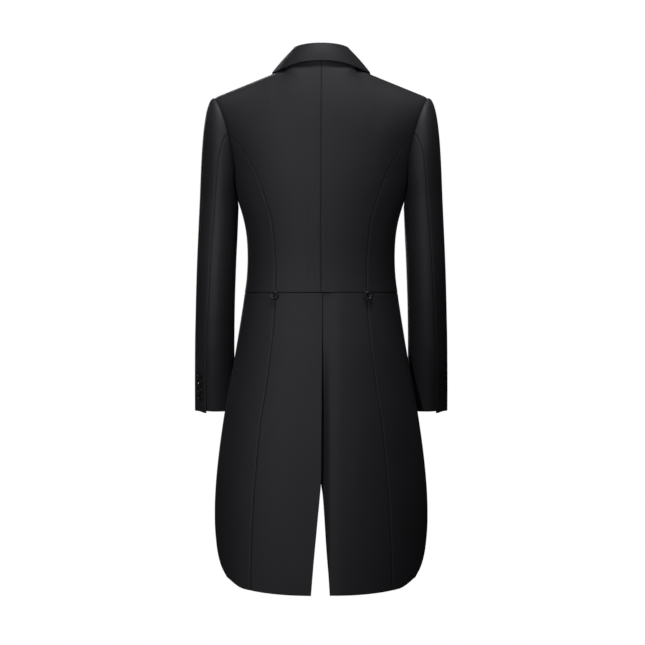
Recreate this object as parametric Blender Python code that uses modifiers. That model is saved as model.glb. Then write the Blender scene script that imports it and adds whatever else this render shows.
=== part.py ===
"""White tie tailcoat, filled out as when worn.

Metres, +Z up. The front faces -Y and the wearer's left is +X. The origin is in the middle of the neck, just
above the nape. Each cut piece of cloth is a wall of its own, 0.3 mm from the pieces it is sewn to.
"""

import math
from collections import namedtuple

import bmesh
import bpy
from mathutils import Matrix, Vector

COAT = "white_tie_tailcoat"

# Cloth
WALL = 0.002
TINY = 0.00001
SMALL_RISE = 0.0003
SMALL_TURN = math.radians(0.15)
SEAM_GAP = 0.0003
EDGE_DRAWN_IN = SEAM_GAP * 0.6
LAYER_GAP = 0.0018
SHARP_EDGE = math.radians(40)

# Neck and shoulders
NECK_HALF_WIDTH = 0.072
NAPE_Y = 0.076
NAPE_Z = -0.006
NECK_POINT_Y = 0.008
NECK_POINT_Z = -0.0265
SHOULDER_TIP_X = 0.218
SHOULDER_TIP_Y = -0.008
SHOULDER_TIP_Z = -0.0845
UNDERARM_Z = -0.262

# How far below the shoulder line the cloth still turns, at the centre and at the shoulder tip
BACK_TURN = (0.140, 0.110)
FRONT_TURN = (0.190, 0.120)
NECK_BEND = 0.38
PLAIN_BEND = 0.5
NECK_STEP = 0.006
NECK_BLUR = 0.8
NECK_BLUR_MOST = 0.040
NECK_BLUR_TAPS = 6
RING_POWER = 2.3

# Waist and seams
WAIST_Z = -0.485
SIDE_SEAM_ANGLE = math.radians(92)
TAIL_START_ANGLE = math.radians(125)
SIDE_PANEL_TOP = math.radians(79.4)
HIND_SEAM_TOP = math.radians(83)
FORE_SEAM_TOP = math.radians(245.5)

# Half width and depths of the body and tails at each height, from the middle of the ring
Ring = namedtuple("Ring", "z half_width middle_y back front")
RINGS = (
    Ring(0.030, 0.275, -0.020, 0.128, 0.122),
    Ring(-0.084, 0.250, -0.020, 0.132, 0.130),
    Ring(-0.150, 0.225, -0.020, 0.133, 0.130),
    Ring(-0.230, 0.191, -0.020, 0.132, 0.130),
    Ring(-0.262, 0.183, -0.020, 0.130, 0.129),
    Ring(-0.309, 0.1665, -0.020, 0.125, 0.126),
    Ring(-0.340, 0.1580, -0.019, 0.121, 0.123),
    Ring(-0.370, 0.1530, -0.018, 0.117, 0.119),
    Ring(-0.410, 0.1510, -0.018, 0.112, 0.115),
    Ring(-0.450, 0.1525, -0.017, 0.109, 0.113),
    Ring(-0.485, 0.1568, -0.016, 0.110, 0.112),
    Ring(-0.532, 0.1638, -0.013, 0.116, 0.112),
    Ring(-0.614, 0.1770, -0.007, 0.124, 0.112),
    Ring(-0.737, 0.1990, 0.001, 0.125, 0.110),
    Ring(-0.840, 0.2125, 0.006, 0.124, 0.110),
    Ring(-0.921, 0.2178, 0.009, 0.123, 0.110),
    Ring(-1.110, 0.2190, 0.014, 0.120, 0.110),
)

# Armhole, from the shoulder tip down to the underarm
Armhole = namedtuple("Armhole", "z rear_x front_x")
ARMHOLE = (
    Armhole(-0.0845, 0.2180, 0.2180),
    Armhole(-0.1140, 0.2050, 0.2035),
    Armhole(-0.1530, 0.1920, 0.1880),
    Armhole(-0.1980, 0.1812, 0.1762),
    Armhole(-0.2360, 0.1772, 0.1745),
    Armhole(-0.2620, 0.1830, 0.1830),
)

# Curved back seam from the armhole to the waist, and the tail seam below it
BackSeam = namedtuple("BackSeam", "z x")
BACK_SEAM = (
    BackSeam(-0.157, 0.1910),
    BackSeam(-0.183, 0.1692),
    BackSeam(-0.213, 0.1494),
    BackSeam(-0.240, 0.1340),
    BackSeam(-0.288, 0.1164),
    BackSeam(-0.338, 0.1017),
    BackSeam(-0.393, 0.0950),
    BackSeam(-0.443, 0.0923),
    BackSeam(-0.485, 0.0937),
    BackSeam(-0.555, 0.0971),
    BackSeam(-0.628, 0.1054),
    BackSeam(-0.692, 0.1140),
    BackSeam(-0.742, 0.1225),
    BackSeam(-0.839, 0.1318),
    BackSeam(-0.950, 0.1397),
    BackSeam(-1.100, 0.1440),
)

# Vent edges of the two tails, each measured from the centre line towards its own side
Vent = namedtuple("Vent", "z left_x right_x")
VENT = (
    Vent(-0.485, -0.0028, -0.0270),
    Vent(-0.680, -0.0012, -0.0180),
    Vent(-0.865, 0.0004, -0.0010),
    Vent(-0.895, 0.0025, 0.0032),
    Vent(-0.935, 0.0063, 0.0063),
    Vent(-0.976, 0.0101, 0.0088),
    Vent(-1.015, 0.0138, 0.0115),
    Vent(-1.056, 0.0173, 0.0149),
    Vent(-1.100, 0.0208, 0.0177),
)
VENT_LIFT = 0.005
VENT_LIFT_REACH = 0.060
VENT_LIFT_DROP = 0.400
UNDERLAP_TURN = (0.040, 0.005)

# Front edge of the tail as an angle round the ring, then as a half width where the corner rounds off
TailEdge = namedtuple("TailEdge", "z degrees")
TAIL_EDGE = (
    TailEdge(-0.485, 125),
    TailEdge(-0.540, 113.5),
    TailEdge(-0.600, 103),
    TailEdge(-0.660, 94.5),
    TailEdge(-0.727, 90),
    TailEdge(-0.830, 87.5),
    TailEdge(-0.921, 86.1),
)
TailCorner = namedtuple("TailCorner", "z x")
TAIL_CORNER = (
    TailCorner(-0.921, 0.2176),
    TailCorner(-0.962, 0.2168),
    TailCorner(-1.003, 0.2125),
    TailCorner(-1.023, 0.2085),
    TailCorner(-1.0425, 0.2020),
    TailCorner(-1.0618, 0.1913),
)
Hem = namedtuple("Hem", "x z")
HEM = (
    Hem(0.0000, -1.0955),
    Hem(0.0600, -1.0948),
    Hem(0.1044, -1.0917),
    Hem(0.1387, -1.0870),
    Hem(0.1648, -1.0805),
    Hem(0.1913, -1.0618),
)

# Front edge: the roll line down to the break, then the edge down to the front point
FrontEdge = namedtuple("FrontEdge", "z x")
FRONT_EDGE = (
    FrontEdge(-0.0265, 0.0720),
    FrontEdge(-0.088, 0.0665),
    FrontEdge(-0.200, 0.0650),
    FrontEdge(-0.395, 0.0620),
    FrontEdge(-0.520, 0.0550),
)
FRONT_POINT_Z = -0.520
SLANT_BOW = 0.8
GORGE_Z = -0.088
BREAK_Z = -0.395

# Free edge of the lapel: notch, tip and belly down to the break
LapelEdge = namedtuple("LapelEdge", "z x")
LAPEL_NOTCH = (0.112, -0.132)
LAPEL_BELLY = (
    LapelEdge(-0.104, 0.1580),
    LapelEdge(-0.150, 0.1500),
    LapelEdge(-0.220, 0.1310),
    LapelEdge(-0.300, 0.1030),
    LapelEdge(-0.360, 0.0770),
    LapelEdge(-0.395, 0.0640),
)

# Collar: fold heights and the edge of the fall, on the back and then over the front to the collar corner
ROLL = 0.0022
ROLL_START = 0.0008
LEAF_BOW = 0.0015
LEAF_HEIGHT = ROLL * 2 - WALL / 2
FOLD_GAP = SEAM_GAP * 1.5
NOTCH_GAP = SEAM_GAP * 3
FOLD_HALF_WIDTH = 0.0545
FOLD_BACK_Y = 0.070
FOLD_BACK_Z = 0.0185
FOLD_SIDE_Z = 0.0105
CollarEdge = namedtuple("CollarEdge", "x y z")
COLLAR_EDGE_BACK = (
    CollarEdge(0.0000, 0.0865, -0.0150),
    CollarEdge(0.0224, 0.0852, -0.0158),
    CollarEdge(0.0434, 0.0795, -0.0188),
    CollarEdge(0.0643, 0.0675, -0.0245),
    CollarEdge(0.0823, 0.0465, -0.0305),
    CollarEdge(0.0918, 0.0265, -0.0334),
    CollarEdge(0.0993, 0.0057, -0.0337),
)
CollarFront = namedtuple("CollarFront", "share edge_x edge_z stand")
COLLAR_FRONT = (
    CollarFront(0.00, 0.0985, -0.0375, 1.00),
    CollarFront(0.30, 0.1080, -0.0515, 0.84),
    CollarFront(0.60, 0.1165, -0.0700, 0.48),
    CollarFront(0.90, 0.1240, -0.0960, 0.08),
)

# Sleeve below the armhole: its outer and inner edge seen from behind, its middle from the side, and its depth
Sleeve = namedtuple("Sleeve", "z outer_x inner_x middle_y half_depth lean hind fore")
SLEEVES = (
    Sleeve(-0.300, 0.2494, 0.1690, -0.010, 0.0740, 0.0, 80, 246),
    Sleeve(-0.368, 0.2523, 0.1715, -0.004, 0.0690, 1.0, 76, 245),
    Sleeve(-0.409, 0.2540, 0.1735, -0.001, 0.0665, 2.0, 74, 244),
    Sleeve(-0.450, 0.2554, 0.1750, 0.000, 0.0640, 4.0, 73, 243),
    Sleeve(-0.491, 0.2567, 0.1765, -0.003, 0.0620, 7.0, 71, 242),
    Sleeve(-0.532, 0.2578, 0.1775, -0.010, 0.0600, 10.0, 70, 241),
    Sleeve(-0.573, 0.2591, 0.1782, -0.020, 0.0580, 12.5, 69, 240),
    Sleeve(-0.614, 0.2600, 0.1785, -0.034, 0.0560, 13.5, 68, 239),
    Sleeve(-0.655, 0.2607, 0.1787, -0.049, 0.0540, 12.0, 67, 238),
    Sleeve(-0.692, 0.2612, 0.1787, -0.062, 0.0525, 7.5, 67, 237),
    Sleeve(-0.7275, 0.2614, 0.1785, -0.073, 0.0515, 2.0, 67, 236),
)
SLEEVE_HEAD_OUT = 0.080
SLEEVE_HEAD_RISE = 0.075
SLEEVE_HEAD_BACK = 0.35
SLEEVE_UNDER_IN = 0.30
SLEEVE_UNDER_CLEAR = 0.0004
SLEEVE_CLEAR = 0.0016
SLEEVE_CLEAR_TOP = -0.17
SLEEVE_HEAD_STEPS = (0.0, 0.07, 0.18, 0.34, 0.54, 0.77, 1.0)

# Buttons
BACK_BUTTON_RADIUS = 0.0095
BACK_BUTTON_HEIGHT = 0.0060
BACK_BUTTON_X = 0.0941
BACK_BUTTON_Z = -0.492
CUFF_BUTTON_RADIUS = 0.0075
CUFF_BUTTON_HEIGHT = 0.0035
CUFF_BUTTON_HEIGHTS = (-0.6434, -0.6602, -0.6770, -0.6938)
CUFF_BUTTON_FROM_SEAM = math.radians(19)
FRONT_BUTTON_RADIUS = 0.0100
FRONT_BUTTON_HEIGHT = 0.0055
FrontButton = namedtuple("FrontButton", "x z")
FRONT_BUTTONS = (
    FrontButton(0.118, -0.335),
    FrontButton(0.104, -0.400),
    FrontButton(0.092, -0.465),
)
ButtonOutline = namedtuple("ButtonOutline", "across up")
BUTTON_OUTLINE = (
    ButtonOutline(0.00, 1.00),
    ButtonOutline(0.55, 0.93),
    ButtonOutline(0.80, 1.00),
    ButtonOutline(0.97, 0.66),
    ButtonOutline(1.00, 0.34),
    ButtonOutline(0.85, 0.00),
    ButtonOutline(0.00, 0.00),
)
BUTTON_GAP = 0.0007
BUTTON_STEPS = 14

# Rows and columns of each panel
NECK_COLUMNS = 7
SHOULDER_COLUMNS = 8
ARMHOLE_UPPER_ROWS = 5
SIDE_COLUMNS = 5
BODY_ROWS = 10
FRONT_ARMHOLE_ROWS = 11
FORE_ROWS_BELOW = 4
TAIL_FRONT_COLUMNS = 3
TAIL_BACK_COLUMNS = 5
TAIL_ROWS = 15
TAIL_ROW_CROWDING = 1.5
COLLAR_FRONT_STATIONS = 5
LAPEL_STATIONS = 12
LEAF_COLUMNS = 5
PEAK_COLUMNS = 3
ROLL_STEPS = 4

WOOL = ((0.028, 0.028, 0.031), 0.75)
SILK = ((0.012, 0.012, 0.014), 0.35)
HORN = ((0.010, 0.010, 0.011), 0.30)


def clear_scene():
    for item in list(bpy.data.objects):
        bpy.data.objects.remove(item)


def steps(first, last, count):
    return [first + (last - first) * i / count for i in range(count + 1)]


def eased(t):
    t = min(1.0, max(0.0, t))
    return t * t * (3 - 2 * t)


def reading(table, column, at, key="z"):
    """Value of a table's column at a height, on a smooth curve through the rows."""
    spots = [getattr(row, key) for row in table]
    values = [getattr(row, column) for row in table]
    if spots[0] > spots[-1]:
        spots.reverse()
        values.reverse()
    at = min(spots[-1], max(spots[0], at))
    last = len(spots) - 1
    i = 0
    while i < last - 1 and at > spots[i + 1]:
        i += 1

    def slope(k):
        low, high = max(0, k - 1), min(last, k + 1)
        return (values[high] - values[low]) / (spots[high] - spots[low])

    width = spots[i + 1] - spots[i]
    t = (at - spots[i]) / width
    start = (1 + 2 * t) * (1 - t) ** 2 * values[i] + t * (1 - t) ** 2 * width * slope(i)
    end = t * t * (3 - 2 * t) * values[i + 1] + t * t * (t - 1) * width * slope(i + 1)
    return start + end


def shoulder_line(x):
    """Depth and height of the neck seam and then of the shoulder seam, at a distance from the centre."""
    if x < NECK_HALF_WIDTH:
        level = math.sqrt(1 - (x / NECK_HALF_WIDTH) ** 2)
        return (
            NECK_POINT_Y + (NAPE_Y - NECK_POINT_Y) * level,
            NECK_POINT_Z + (NAPE_Z - NECK_POINT_Z) * level,
        )
    t = (x - NECK_HALF_WIDTH) / (SHOULDER_TIP_X - NECK_HALF_WIDTH)
    return (
        NECK_POINT_Y + (SHOULDER_TIP_Y - NECK_POINT_Y) * t,
        NECK_POINT_Z + (SHOULDER_TIP_Z - NECK_POINT_Z) * t,
    )


def turned_in(across, depth, z, at_back):
    """Depth of the surface where the shoulder rounds off, from the depth of the plain ring."""
    top_y, top_z = shoulder_line(across if at_back else max(across, NECK_HALF_WIDTH))
    turn = BACK_TURN if at_back else FRONT_TURN
    if at_back and across < NECK_HALF_WIDTH:
        bend = 1 + (NECK_BEND - 1) * (across / NECK_HALF_WIDTH) ** 2
    elif at_back:
        bend = NECK_BEND + (PLAIN_BEND - NECK_BEND) * eased((across - NECK_HALF_WIDTH) / NECK_HALF_WIDTH)
    else:
        bend = PLAIN_BEND
    reach = turn[0] + (turn[1] - turn[0]) * min(1.0, across / SHOULDER_TIP_X)
    drop = min(1.0, max(0.0, (top_z - z) / reach))
    return top_y + (depth - top_y) * (1 - (1 - drop) ** 2) ** bend


def body(angle, z):
    """Point on the outside of the body. The angle is 0 at the centre back and grows round the left side."""
    width = reading(RINGS, "half_width", z)
    middle = reading(RINGS, "middle_y", z)
    at_back = math.cos(angle) >= 0
    depth = reading(RINGS, "back" if at_back else "front", z)
    sine, cosine = math.sin(angle), math.cos(angle)
    radius = (abs(sine) ** RING_POWER + abs(cosine) ** RING_POWER) ** (-1 / RING_POWER)
    x = width * radius * sine
    y = middle + depth * radius * cosine
    if z < shoulder_line(abs(x))[1] - BACK_TURN[0] or not at_back:
        return Vector((x, turned_in(abs(x), y, z, at_back), z))
    blur = min(NECK_BLUR_MOST, NECK_BLUR * max(0.0, shoulder_line(abs(x))[1] - z))
    total = 0.0
    for tap in range(-NECK_BLUR_TAPS, NECK_BLUR_TAPS + 1):
        weight = (NECK_BLUR_TAPS + 1 - abs(tap)) / (NECK_BLUR_TAPS + 1) ** 2
        total += weight * turned_in(abs(x + blur * tap / NECK_BLUR_TAPS), y, z, True)
    return Vector((x, total, z))


def below_neck(x):
    """(angle, height) of the body's surface a little way out from the neck seam."""
    share = x / NECK_HALF_WIDTH
    out_x = x + NECK_STEP * share
    z = shoulder_line(out_x)[1] - NECK_STEP * math.sqrt(1 - share * share)
    return angle_at(out_x, z), z


def body_normal(angle, z):
    """Outward direction of the body's surface. On the neck and shoulder seams it is square to the seam."""
    here = body(angle, z)
    across = abs(here.x)
    if math.cos(angle) > 0 and across < NECK_HALF_WIDTH - TINY and shoulder_line(across)[1] - z < TINY:
        share = here.x / NECK_HALF_WIDTH
        tangent = Vector((
            NECK_HALF_WIDTH * math.sqrt(1 - share * share),
            (NECK_POINT_Y - NAPE_Y) * share,
            (NECK_POINT_Z - NAPE_Z) * share,
        ))
        return tangent.cross(body(*below_neck(here.x)) - here).normalized()
    on_seam = NECK_HALF_WIDTH - TINY < across < SHOULDER_TIP_X + TINY
    if on_seam and shoulder_line(max(across, NECK_HALF_WIDTH))[1] - z < TINY:
        fall = (NECK_POINT_Z - SHOULDER_TIP_Z) / (SHOULDER_TIP_X - NECK_HALF_WIDTH)
        return Vector((math.copysign(fall, here.x), 0, 1)).normalized()
    along = body(angle + SMALL_TURN, z) - body(angle - SMALL_TURN, z)
    up = body(angle, z + SMALL_RISE) - body(angle, z - SMALL_RISE)
    return up.cross(along).normalized()


def angle_at(x, z, front=False):
    """Angle round the ring of the point with this x, on the back or on the front."""
    share = min(1.0, abs(x) / reading(RINGS, "half_width", z))
    deep = (1 - share**RING_POWER) ** (1 / RING_POWER)
    return math.atan2(math.copysign(share, x), -deep if front else deep)


def patch(top, bottom, left, right):
    """Grid of (angle, height) pairs between four edges, whose corners agree."""
    rows, columns = len(left) - 1, len(top) - 1
    down = [(right[0][1] - z) / (right[0][1] - right[-1][1]) for _, z in right]
    grid = []
    for i in range(rows + 1):
        v = down[i]
        row = []
        for j in range(columns + 1):
            u = j / columns
            row.append(
                tuple(
                    (1 - v) * top[j][k]
                    + v * bottom[j][k]
                    + (1 - u) * left[i][k]
                    + u * right[i][k]
                    - (1 - u) * (1 - v) * top[0][k]
                    - u * (1 - v) * top[-1][k]
                    - (1 - u) * v * bottom[0][k]
                    - u * v * bottom[-1][k]
                    for k in range(2)
                )
            )
        grid.append(row)
    return grid


def new_object(name, mesh, look):
    colour, roughness = look
    material = bpy.data.materials.new(name)
    material.use_nodes = True
    shader = material.node_tree.nodes["Principled BSDF"]
    shader.inputs["Base Color"].default_value = (*colour, 1)
    shader.inputs["Roughness"].default_value = roughness
    mesh.materials.append(material)
    mesh.shade_smooth()
    mesh.set_sharp_from_angle(angle=SHARP_EDGE)
    item = bpy.data.objects.new(name, mesh)
    bpy.data.collections[COAT].objects.link(item)
    return item


def drawn_in(grid):
    """The grid with each border point moved inward, square to the border."""
    moved = [[point.copy() for point in row] for row in grid]
    rows, columns = len(grid) - 1, len(grid[0]) - 1
    for i, row in enumerate(grid):
        for j, point in enumerate(row):
            across = row[min(columns, j + 1)] - row[max(0, j - 1)]
            down = grid[min(rows, i + 1)][j] - grid[max(0, i - 1)][j]
            ends = (i == 0) - (i == rows), (j == 0) - (j == columns)
            for di, dj, along in (ends[0], 0, across), (0, ends[1], down):
                if di or dj:
                    inward = grid[i + di][j + dj] - point
                    inward -= inward.project(along)
                    moved[i][j] += inward.normalized() * EDGE_DRAWN_IN
    return moved


def cloth(name, outer, inner, look, side=1, open_start=False):
    """A wall between two grids of points, closed round its border. side -1 is the mirror image."""
    mesh = bmesh.new()
    rows, columns = len(outer), len(outer[0])
    skins = [
        [[mesh.verts.new((p.x * side, p.y, p.z)) for p in row] for row in grid]
        for grid in (outer, inner)
    ]
    for skin in skins:
        for i in range(rows - 1):
            for j in range(columns - 1):
                mesh.faces.new((skin[i][j], skin[i][j + 1], skin[i + 1][j + 1], skin[i + 1][j]))
    border = [(i, columns - 1) for i in range(rows - 1)]
    border += [(rows - 1, j) for j in range(columns - 1, 0, -1)]
    border += [(i, 0) for i in range(rows - 1, 0, -1)]
    border += [(0, j) for j in range(columns)]
    for (i, j), (k, m) in zip(border, border[1:]):
        if open_start and i == 0 and k == 0:
            continue
        mesh.faces.new((skins[0][i][j], skins[0][k][m], skins[1][k][m], skins[1][i][j]))
    bmesh.ops.recalc_face_normals(mesh, faces=mesh.faces)
    data = bpy.data.meshes.new(name)
    mesh.to_mesh(data)
    mesh.free()
    return new_object(name, data, look)


def panel(name, grid, side, shift=None):
    """A body panel from its grid of (angle, height) pairs. Edges on the waist seam are cut level."""
    outer, normals = [], []
    for row in grid:
        line, across = [], []
        for angle, z in row:
            point, normal = body(angle, z), body_normal(angle, z)
            if shift:
                point += normal * shift(point)
            if abs(z - WAIST_Z) < TINY:
                normal = Vector((normal.x, normal.y, 0)).normalized()
            line.append(point)
            across.append(normal)
        outer.append(line)
        normals.append(across)
    outer = drawn_in(outer)
    inner = [[p - n * WALL for p, n in zip(line, across)] for line, across in zip(outer, normals)]
    return cloth(name, outer, inner, WOOL, side)


def armhole_at(turn):
    """(angle, height) of the armhole. The turn is 0 at the shoulder tip and goes round by the rear side."""
    z = SHOULDER_TIP_Z + (UNDERARM_Z - SHOULDER_TIP_Z) * (1 - math.cos(turn)) / 2
    rear = turn <= math.pi
    x = reading(ARMHOLE, "rear_x" if rear else "front_x", z)
    return angle_at(x, z, front=not rear), z


def back_seam_at(z):
    return angle_at(reading(BACK_SEAM, "x", z), z), z


def front_edge_at(z):
    return angle_at(reading(FRONT_EDGE, "x", z), z, front=True), z


def armhole_turns():
    """Turns of the armhole's sample points, which the panels and the sleeve share."""
    upper = steps(0, SIDE_PANEL_TOP, ARMHOLE_UPPER_ROWS)
    lower = steps(HIND_SEAM_TOP, math.pi, SIDE_COLUMNS)
    fore = steps(math.pi, FORE_SEAM_TOP, FORE_ROWS_BELOW)
    front = steps(FORE_SEAM_TOP, 2 * math.pi, FRONT_ARMHOLE_ROWS - FORE_ROWS_BELOW)
    return upper, lower, fore, front


def back_seam_heights():
    return steps(armhole_at(SIDE_PANEL_TOP)[1], WAIST_Z, BODY_ROWS)


def shoulder_seam(front):
    """Samples of the shoulder seam from the neck point to the shoulder tip."""
    return [
        (angle_at(x, shoulder_line(x)[1], front), shoulder_line(x)[1])
        for x in steps(NECK_HALF_WIDTH, SHOULDER_TIP_X, SHOULDER_COLUMNS)
    ]


def make_back(side_name, side):
    neck = []
    for turn in steps(0, math.pi / 2, NECK_COLUMNS):
        x = NECK_HALF_WIDTH * math.sin(turn)
        z = shoulder_line(x)[1]
        neck.append((angle_at(x, z), z))
    top = neck[:-1] + shoulder_seam(False)
    right = [armhole_at(turn) for turn in armhole_turns()[0]]
    right[-1] = back_seam_at(right[-1][1])
    right += [back_seam_at(z) for z in back_seam_heights()[1:]]
    top[-1] = right[0]
    left = []
    for _, z in right:
        share = (right[0][1] - z) / (right[0][1] - WAIST_Z)
        left.append((0.0, NAPE_Z + (WAIST_Z - NAPE_Z) * share))
    last = reading(BACK_SEAM, "x", WAIST_Z)
    widths = [top[j][0] / top[-1][0] for j in range(len(top))]
    bottom = [(angle_at(last * share, WAIST_Z), WAIST_Z) for share in widths]
    panel("back_" + side_name, patch(top, bottom, left, right), side)


def side_bottom():
    return [(a, WAIST_Z) for a in steps(back_seam_at(WAIST_Z)[0], SIDE_SEAM_ANGLE, SIDE_COLUMNS + 1)]


def side_seam_heights():
    left = back_seam_heights()
    return [UNDERARM_Z + (WAIST_Z - UNDERARM_Z) * (left[0] - z) / (left[0] - left[-1]) for z in left]


def side_seam():
    """Samples of the underarm seam, which leans a little forward on its way down."""
    heights = side_seam_heights()
    lean = SIDE_SEAM_ANGLE - math.pi / 2
    return [(math.pi / 2 + lean * (heights[0] - z) / (heights[0] - WAIST_Z), z) for z in heights]


def make_side_body(side_name, side):
    left = [back_seam_at(z) for z in back_seam_heights()]
    top = [left[0]] + [armhole_at(turn) for turn in armhole_turns()[1]]
    right = side_seam()
    right[0] = top[-1]
    grid = patch(top, side_bottom(), left, right)
    panel("side_body_" + side_name, grid, side)


def tail_top_front():
    return [(a, WAIST_Z) for a in steps(SIDE_SEAM_ANGLE, TAIL_START_ANGLE, TAIL_FRONT_COLUMNS)]


def make_front(side_name, side):
    fore, front = armhole_turns()[2:]
    turns = (fore + front[1:])[::-1]
    right = [armhole_at(turn) for turn in turns] + side_seam()[1:]
    top = shoulder_seam(True)
    top[-1] = right[0]
    left = []
    for _, z in right:
        share = (right[0][1] - z) / (right[0][1] - WAIST_Z)
        left.append(front_edge_at(NECK_POINT_Z + (FRONT_POINT_Z - NECK_POINT_Z) * share))
    left[0] = top[0]
    free = SHOULDER_COLUMNS - TAIL_FRONT_COLUMNS
    point = left[-1]
    slant = []
    for t in steps(0, 1, free):
        angle = point[0] + (TAIL_START_ANGLE - point[0]) * t
        slant.append((angle, FRONT_POINT_Z + (WAIST_Z - FRONT_POINT_Z) * t**SLANT_BOW))
    bottom = slant[:-1] + tail_top_front()[::-1]
    panel("front_" + side_name, patch(top, bottom, left, right), side)


def hem_at(x):
    z = reading(HEM, "z", x, key="x")
    return angle_at(x, z), z


def tail_heights(last):
    """Heights of a tail's rows, which lie closer together towards the rounded corner."""
    return [last + (WAIST_Z - last) * t**TAIL_ROW_CROWDING for t in steps(1, 0, TAIL_ROWS)]


def tail_seam():
    last = reading(HEM, "z", reading(BACK_SEAM, "x", HEM[3].z), key="x")
    return [back_seam_at(z) for z in tail_heights(last)]


def make_tail_side(side_name, side):
    left = tail_seam()
    top = side_bottom() + tail_top_front()[1:]
    right = []
    for z in tail_heights(TAIL_CORNER[-1].z):
        if z > TAIL_EDGE[-1].z:
            right.append((math.radians(reading(TAIL_EDGE, "degrees", z)), z))
        else:
            right.append((angle_at(reading(TAIL_CORNER, "x", z), z), z))
    seam_x = body(*left[-1]).x
    bottom = [hem_at(x) for x in steps(seam_x, TAIL_CORNER[-1].x, len(top) - 1)]
    bottom[0], bottom[-1] = left[-1], right[-1]
    panel("tail_side_" + side_name, patch(top, bottom, left, right), side)


def vent_lift(point):
    """How far the upper tail stands off at its vent edge, which grows towards the hem."""
    edge = reading(VENT, "left_x", point.z)
    near = 1 - min(1.0, max(0.0, (point.x - edge) / VENT_LIFT_REACH))
    return VENT_LIFT * eased((WAIST_Z - point.z) / VENT_LIFT_DROP) * near**2


def vent_tuck(point):
    """How far the lower tail is tucked in where the upper one laps over it."""
    start, end = UNDERLAP_TURN
    return -(WALL + LAYER_GAP) * eased((start - point.x) / (start - end))


def make_tail_back(side_name, side):
    right = tail_seam()
    column, shift = ("left_x", vent_lift) if side > 0 else ("right_x", vent_tuck)
    left = []
    for z in tail_heights(HEM[0].z):
        x = reading(VENT, column, z)
        left.append((angle_at(x, z), z))
    seam_x = reading(BACK_SEAM, "x", WAIST_Z)
    start = reading(VENT, column, WAIST_Z)
    top = [(angle_at(x, WAIST_Z), WAIST_Z) for x in steps(start, seam_x, TAIL_BACK_COLUMNS)]
    first, last = body(*left[-1]).x, body(*right[-1]).x
    bottom = [hem_at(x) for x in steps(first, last, TAIL_BACK_COLUMNS)]
    bottom[0], bottom[-1] = left[-1], right[-1]
    top[-1] = right[0]
    grid = patch(top, bottom, left, right)
    panel("tail_back_" + side_name, grid, side, shift)


def surface_normals(grid):
    """Directions square to a grid of points, by differences along its rows and columns."""
    rows, columns = len(grid) - 1, len(grid[0]) - 1
    normals = []
    for i in range(rows + 1):
        line = []
        for j in range(columns + 1):
            along = grid[i][min(columns, j + 1)] - grid[i][max(0, j - 1)]
            down = grid[min(rows, i + 1)][j] - grid[max(0, i - 1)][j]
            line.append(along.cross(down).normalized())
        normals.append(line)
    return normals


def clear_of_body(point):
    """The point, moved out where it would come too near the body or the tail beside the sleeve."""
    width = reading(RINGS, "half_width", point.z)
    middle = reading(RINGS, "middle_y", point.z)
    depth = reading(RINGS, "back" if point.y > middle else "front", point.z)
    share = min(1.0, abs(point.y - middle) / depth)
    body_x = width * (1 - share**RING_POWER) ** (1 / RING_POWER)
    if WAIST_Z < point.z < SLEEVE_CLEAR_TOP:
        point.x = max(point.x, body_x + SLEEVE_CLEAR)
    return point


def sleeve_ring(z, turn):
    """Point of the sleeve's ring at a height. The turn is 0 at the outer side and goes round by the rear."""
    outer, inner = reading(SLEEVES, "outer_x", z), reading(SLEEVES, "inner_x", z)
    back = reading(SLEEVES, "half_depth", z) * math.sin(turn)
    lean = math.tan(math.radians(reading(SLEEVES, "lean", z)))
    x = (outer + inner) / 2 + (outer - inner) / 2 * math.cos(turn)
    return Vector((x, reading(SLEEVES, "middle_y", z) + back, z - back * lean))


def sleeve_turn(top_turn, z):
    """Turn at a height of the line that starts at this turn of the armhole. The two seams swing round."""
    tops = (HIND_SEAM_TOP, math.pi, FORE_SEAM_TOP, HIND_SEAM_TOP + 2 * math.pi)
    hind = math.radians(reading(SLEEVES, "hind", z))
    fore = math.radians(reading(SLEEVES, "fore", z))
    ends = (hind, math.pi, fore, hind + 2 * math.pi)
    turn = top_turn if top_turn >= HIND_SEAM_TOP else top_turn + 2 * math.pi
    k = max(k for k in range(3) if turn >= tops[k])
    t = (turn - tops[k]) / (tops[k + 1] - tops[k])
    return ends[k] + (ends[k + 1] - ends[k]) * t


def sleeve_line(top_turn):
    """Points of the sleeve from the armhole down to the cuff."""
    spot = armhole_at(top_turn % (2 * math.pi))
    high = (1 + math.cos(top_turn)) / 2
    start = body(*spot) + body_normal(*spot) * SLEEVE_UNDER_CLEAR * (1 - high)
    biceps = SLEEVES[0].z
    turn = sleeve_turn(top_turn, biceps)
    end = sleeve_ring(biceps, turn)
    out = Vector((
        high - SLEEVE_UNDER_IN * (1 - high),
        SLEEVE_HEAD_BACK * math.sin(top_turn),
        SLEEVE_HEAD_RISE * high - (1 - high),
    ))
    reach = SLEEVE_HEAD_OUT * high + (end - start).length * (1 - high)
    leave = out.normalized() * reach
    below = sleeve_ring(SLEEVES[1].z, sleeve_turn(top_turn, SLEEVES[1].z))
    arrive = (below - end).normalized() * (end - start).length
    line = []
    for t in SLEEVE_HEAD_STEPS:
        point = (
            start * ((1 + 2 * t) * (1 - t) ** 2)
            + leave * (t * (1 - t) ** 2)
            + end * (t * t * (3 - 2 * t))
            + arrive * (t * t * (t - 1))
        )
        line.append(clear_of_body(point) if t > 0 else point)
    for row in SLEEVES[1:]:
        line.append(clear_of_body(sleeve_ring(row.z, sleeve_turn(top_turn, row.z))))
    return line


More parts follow.
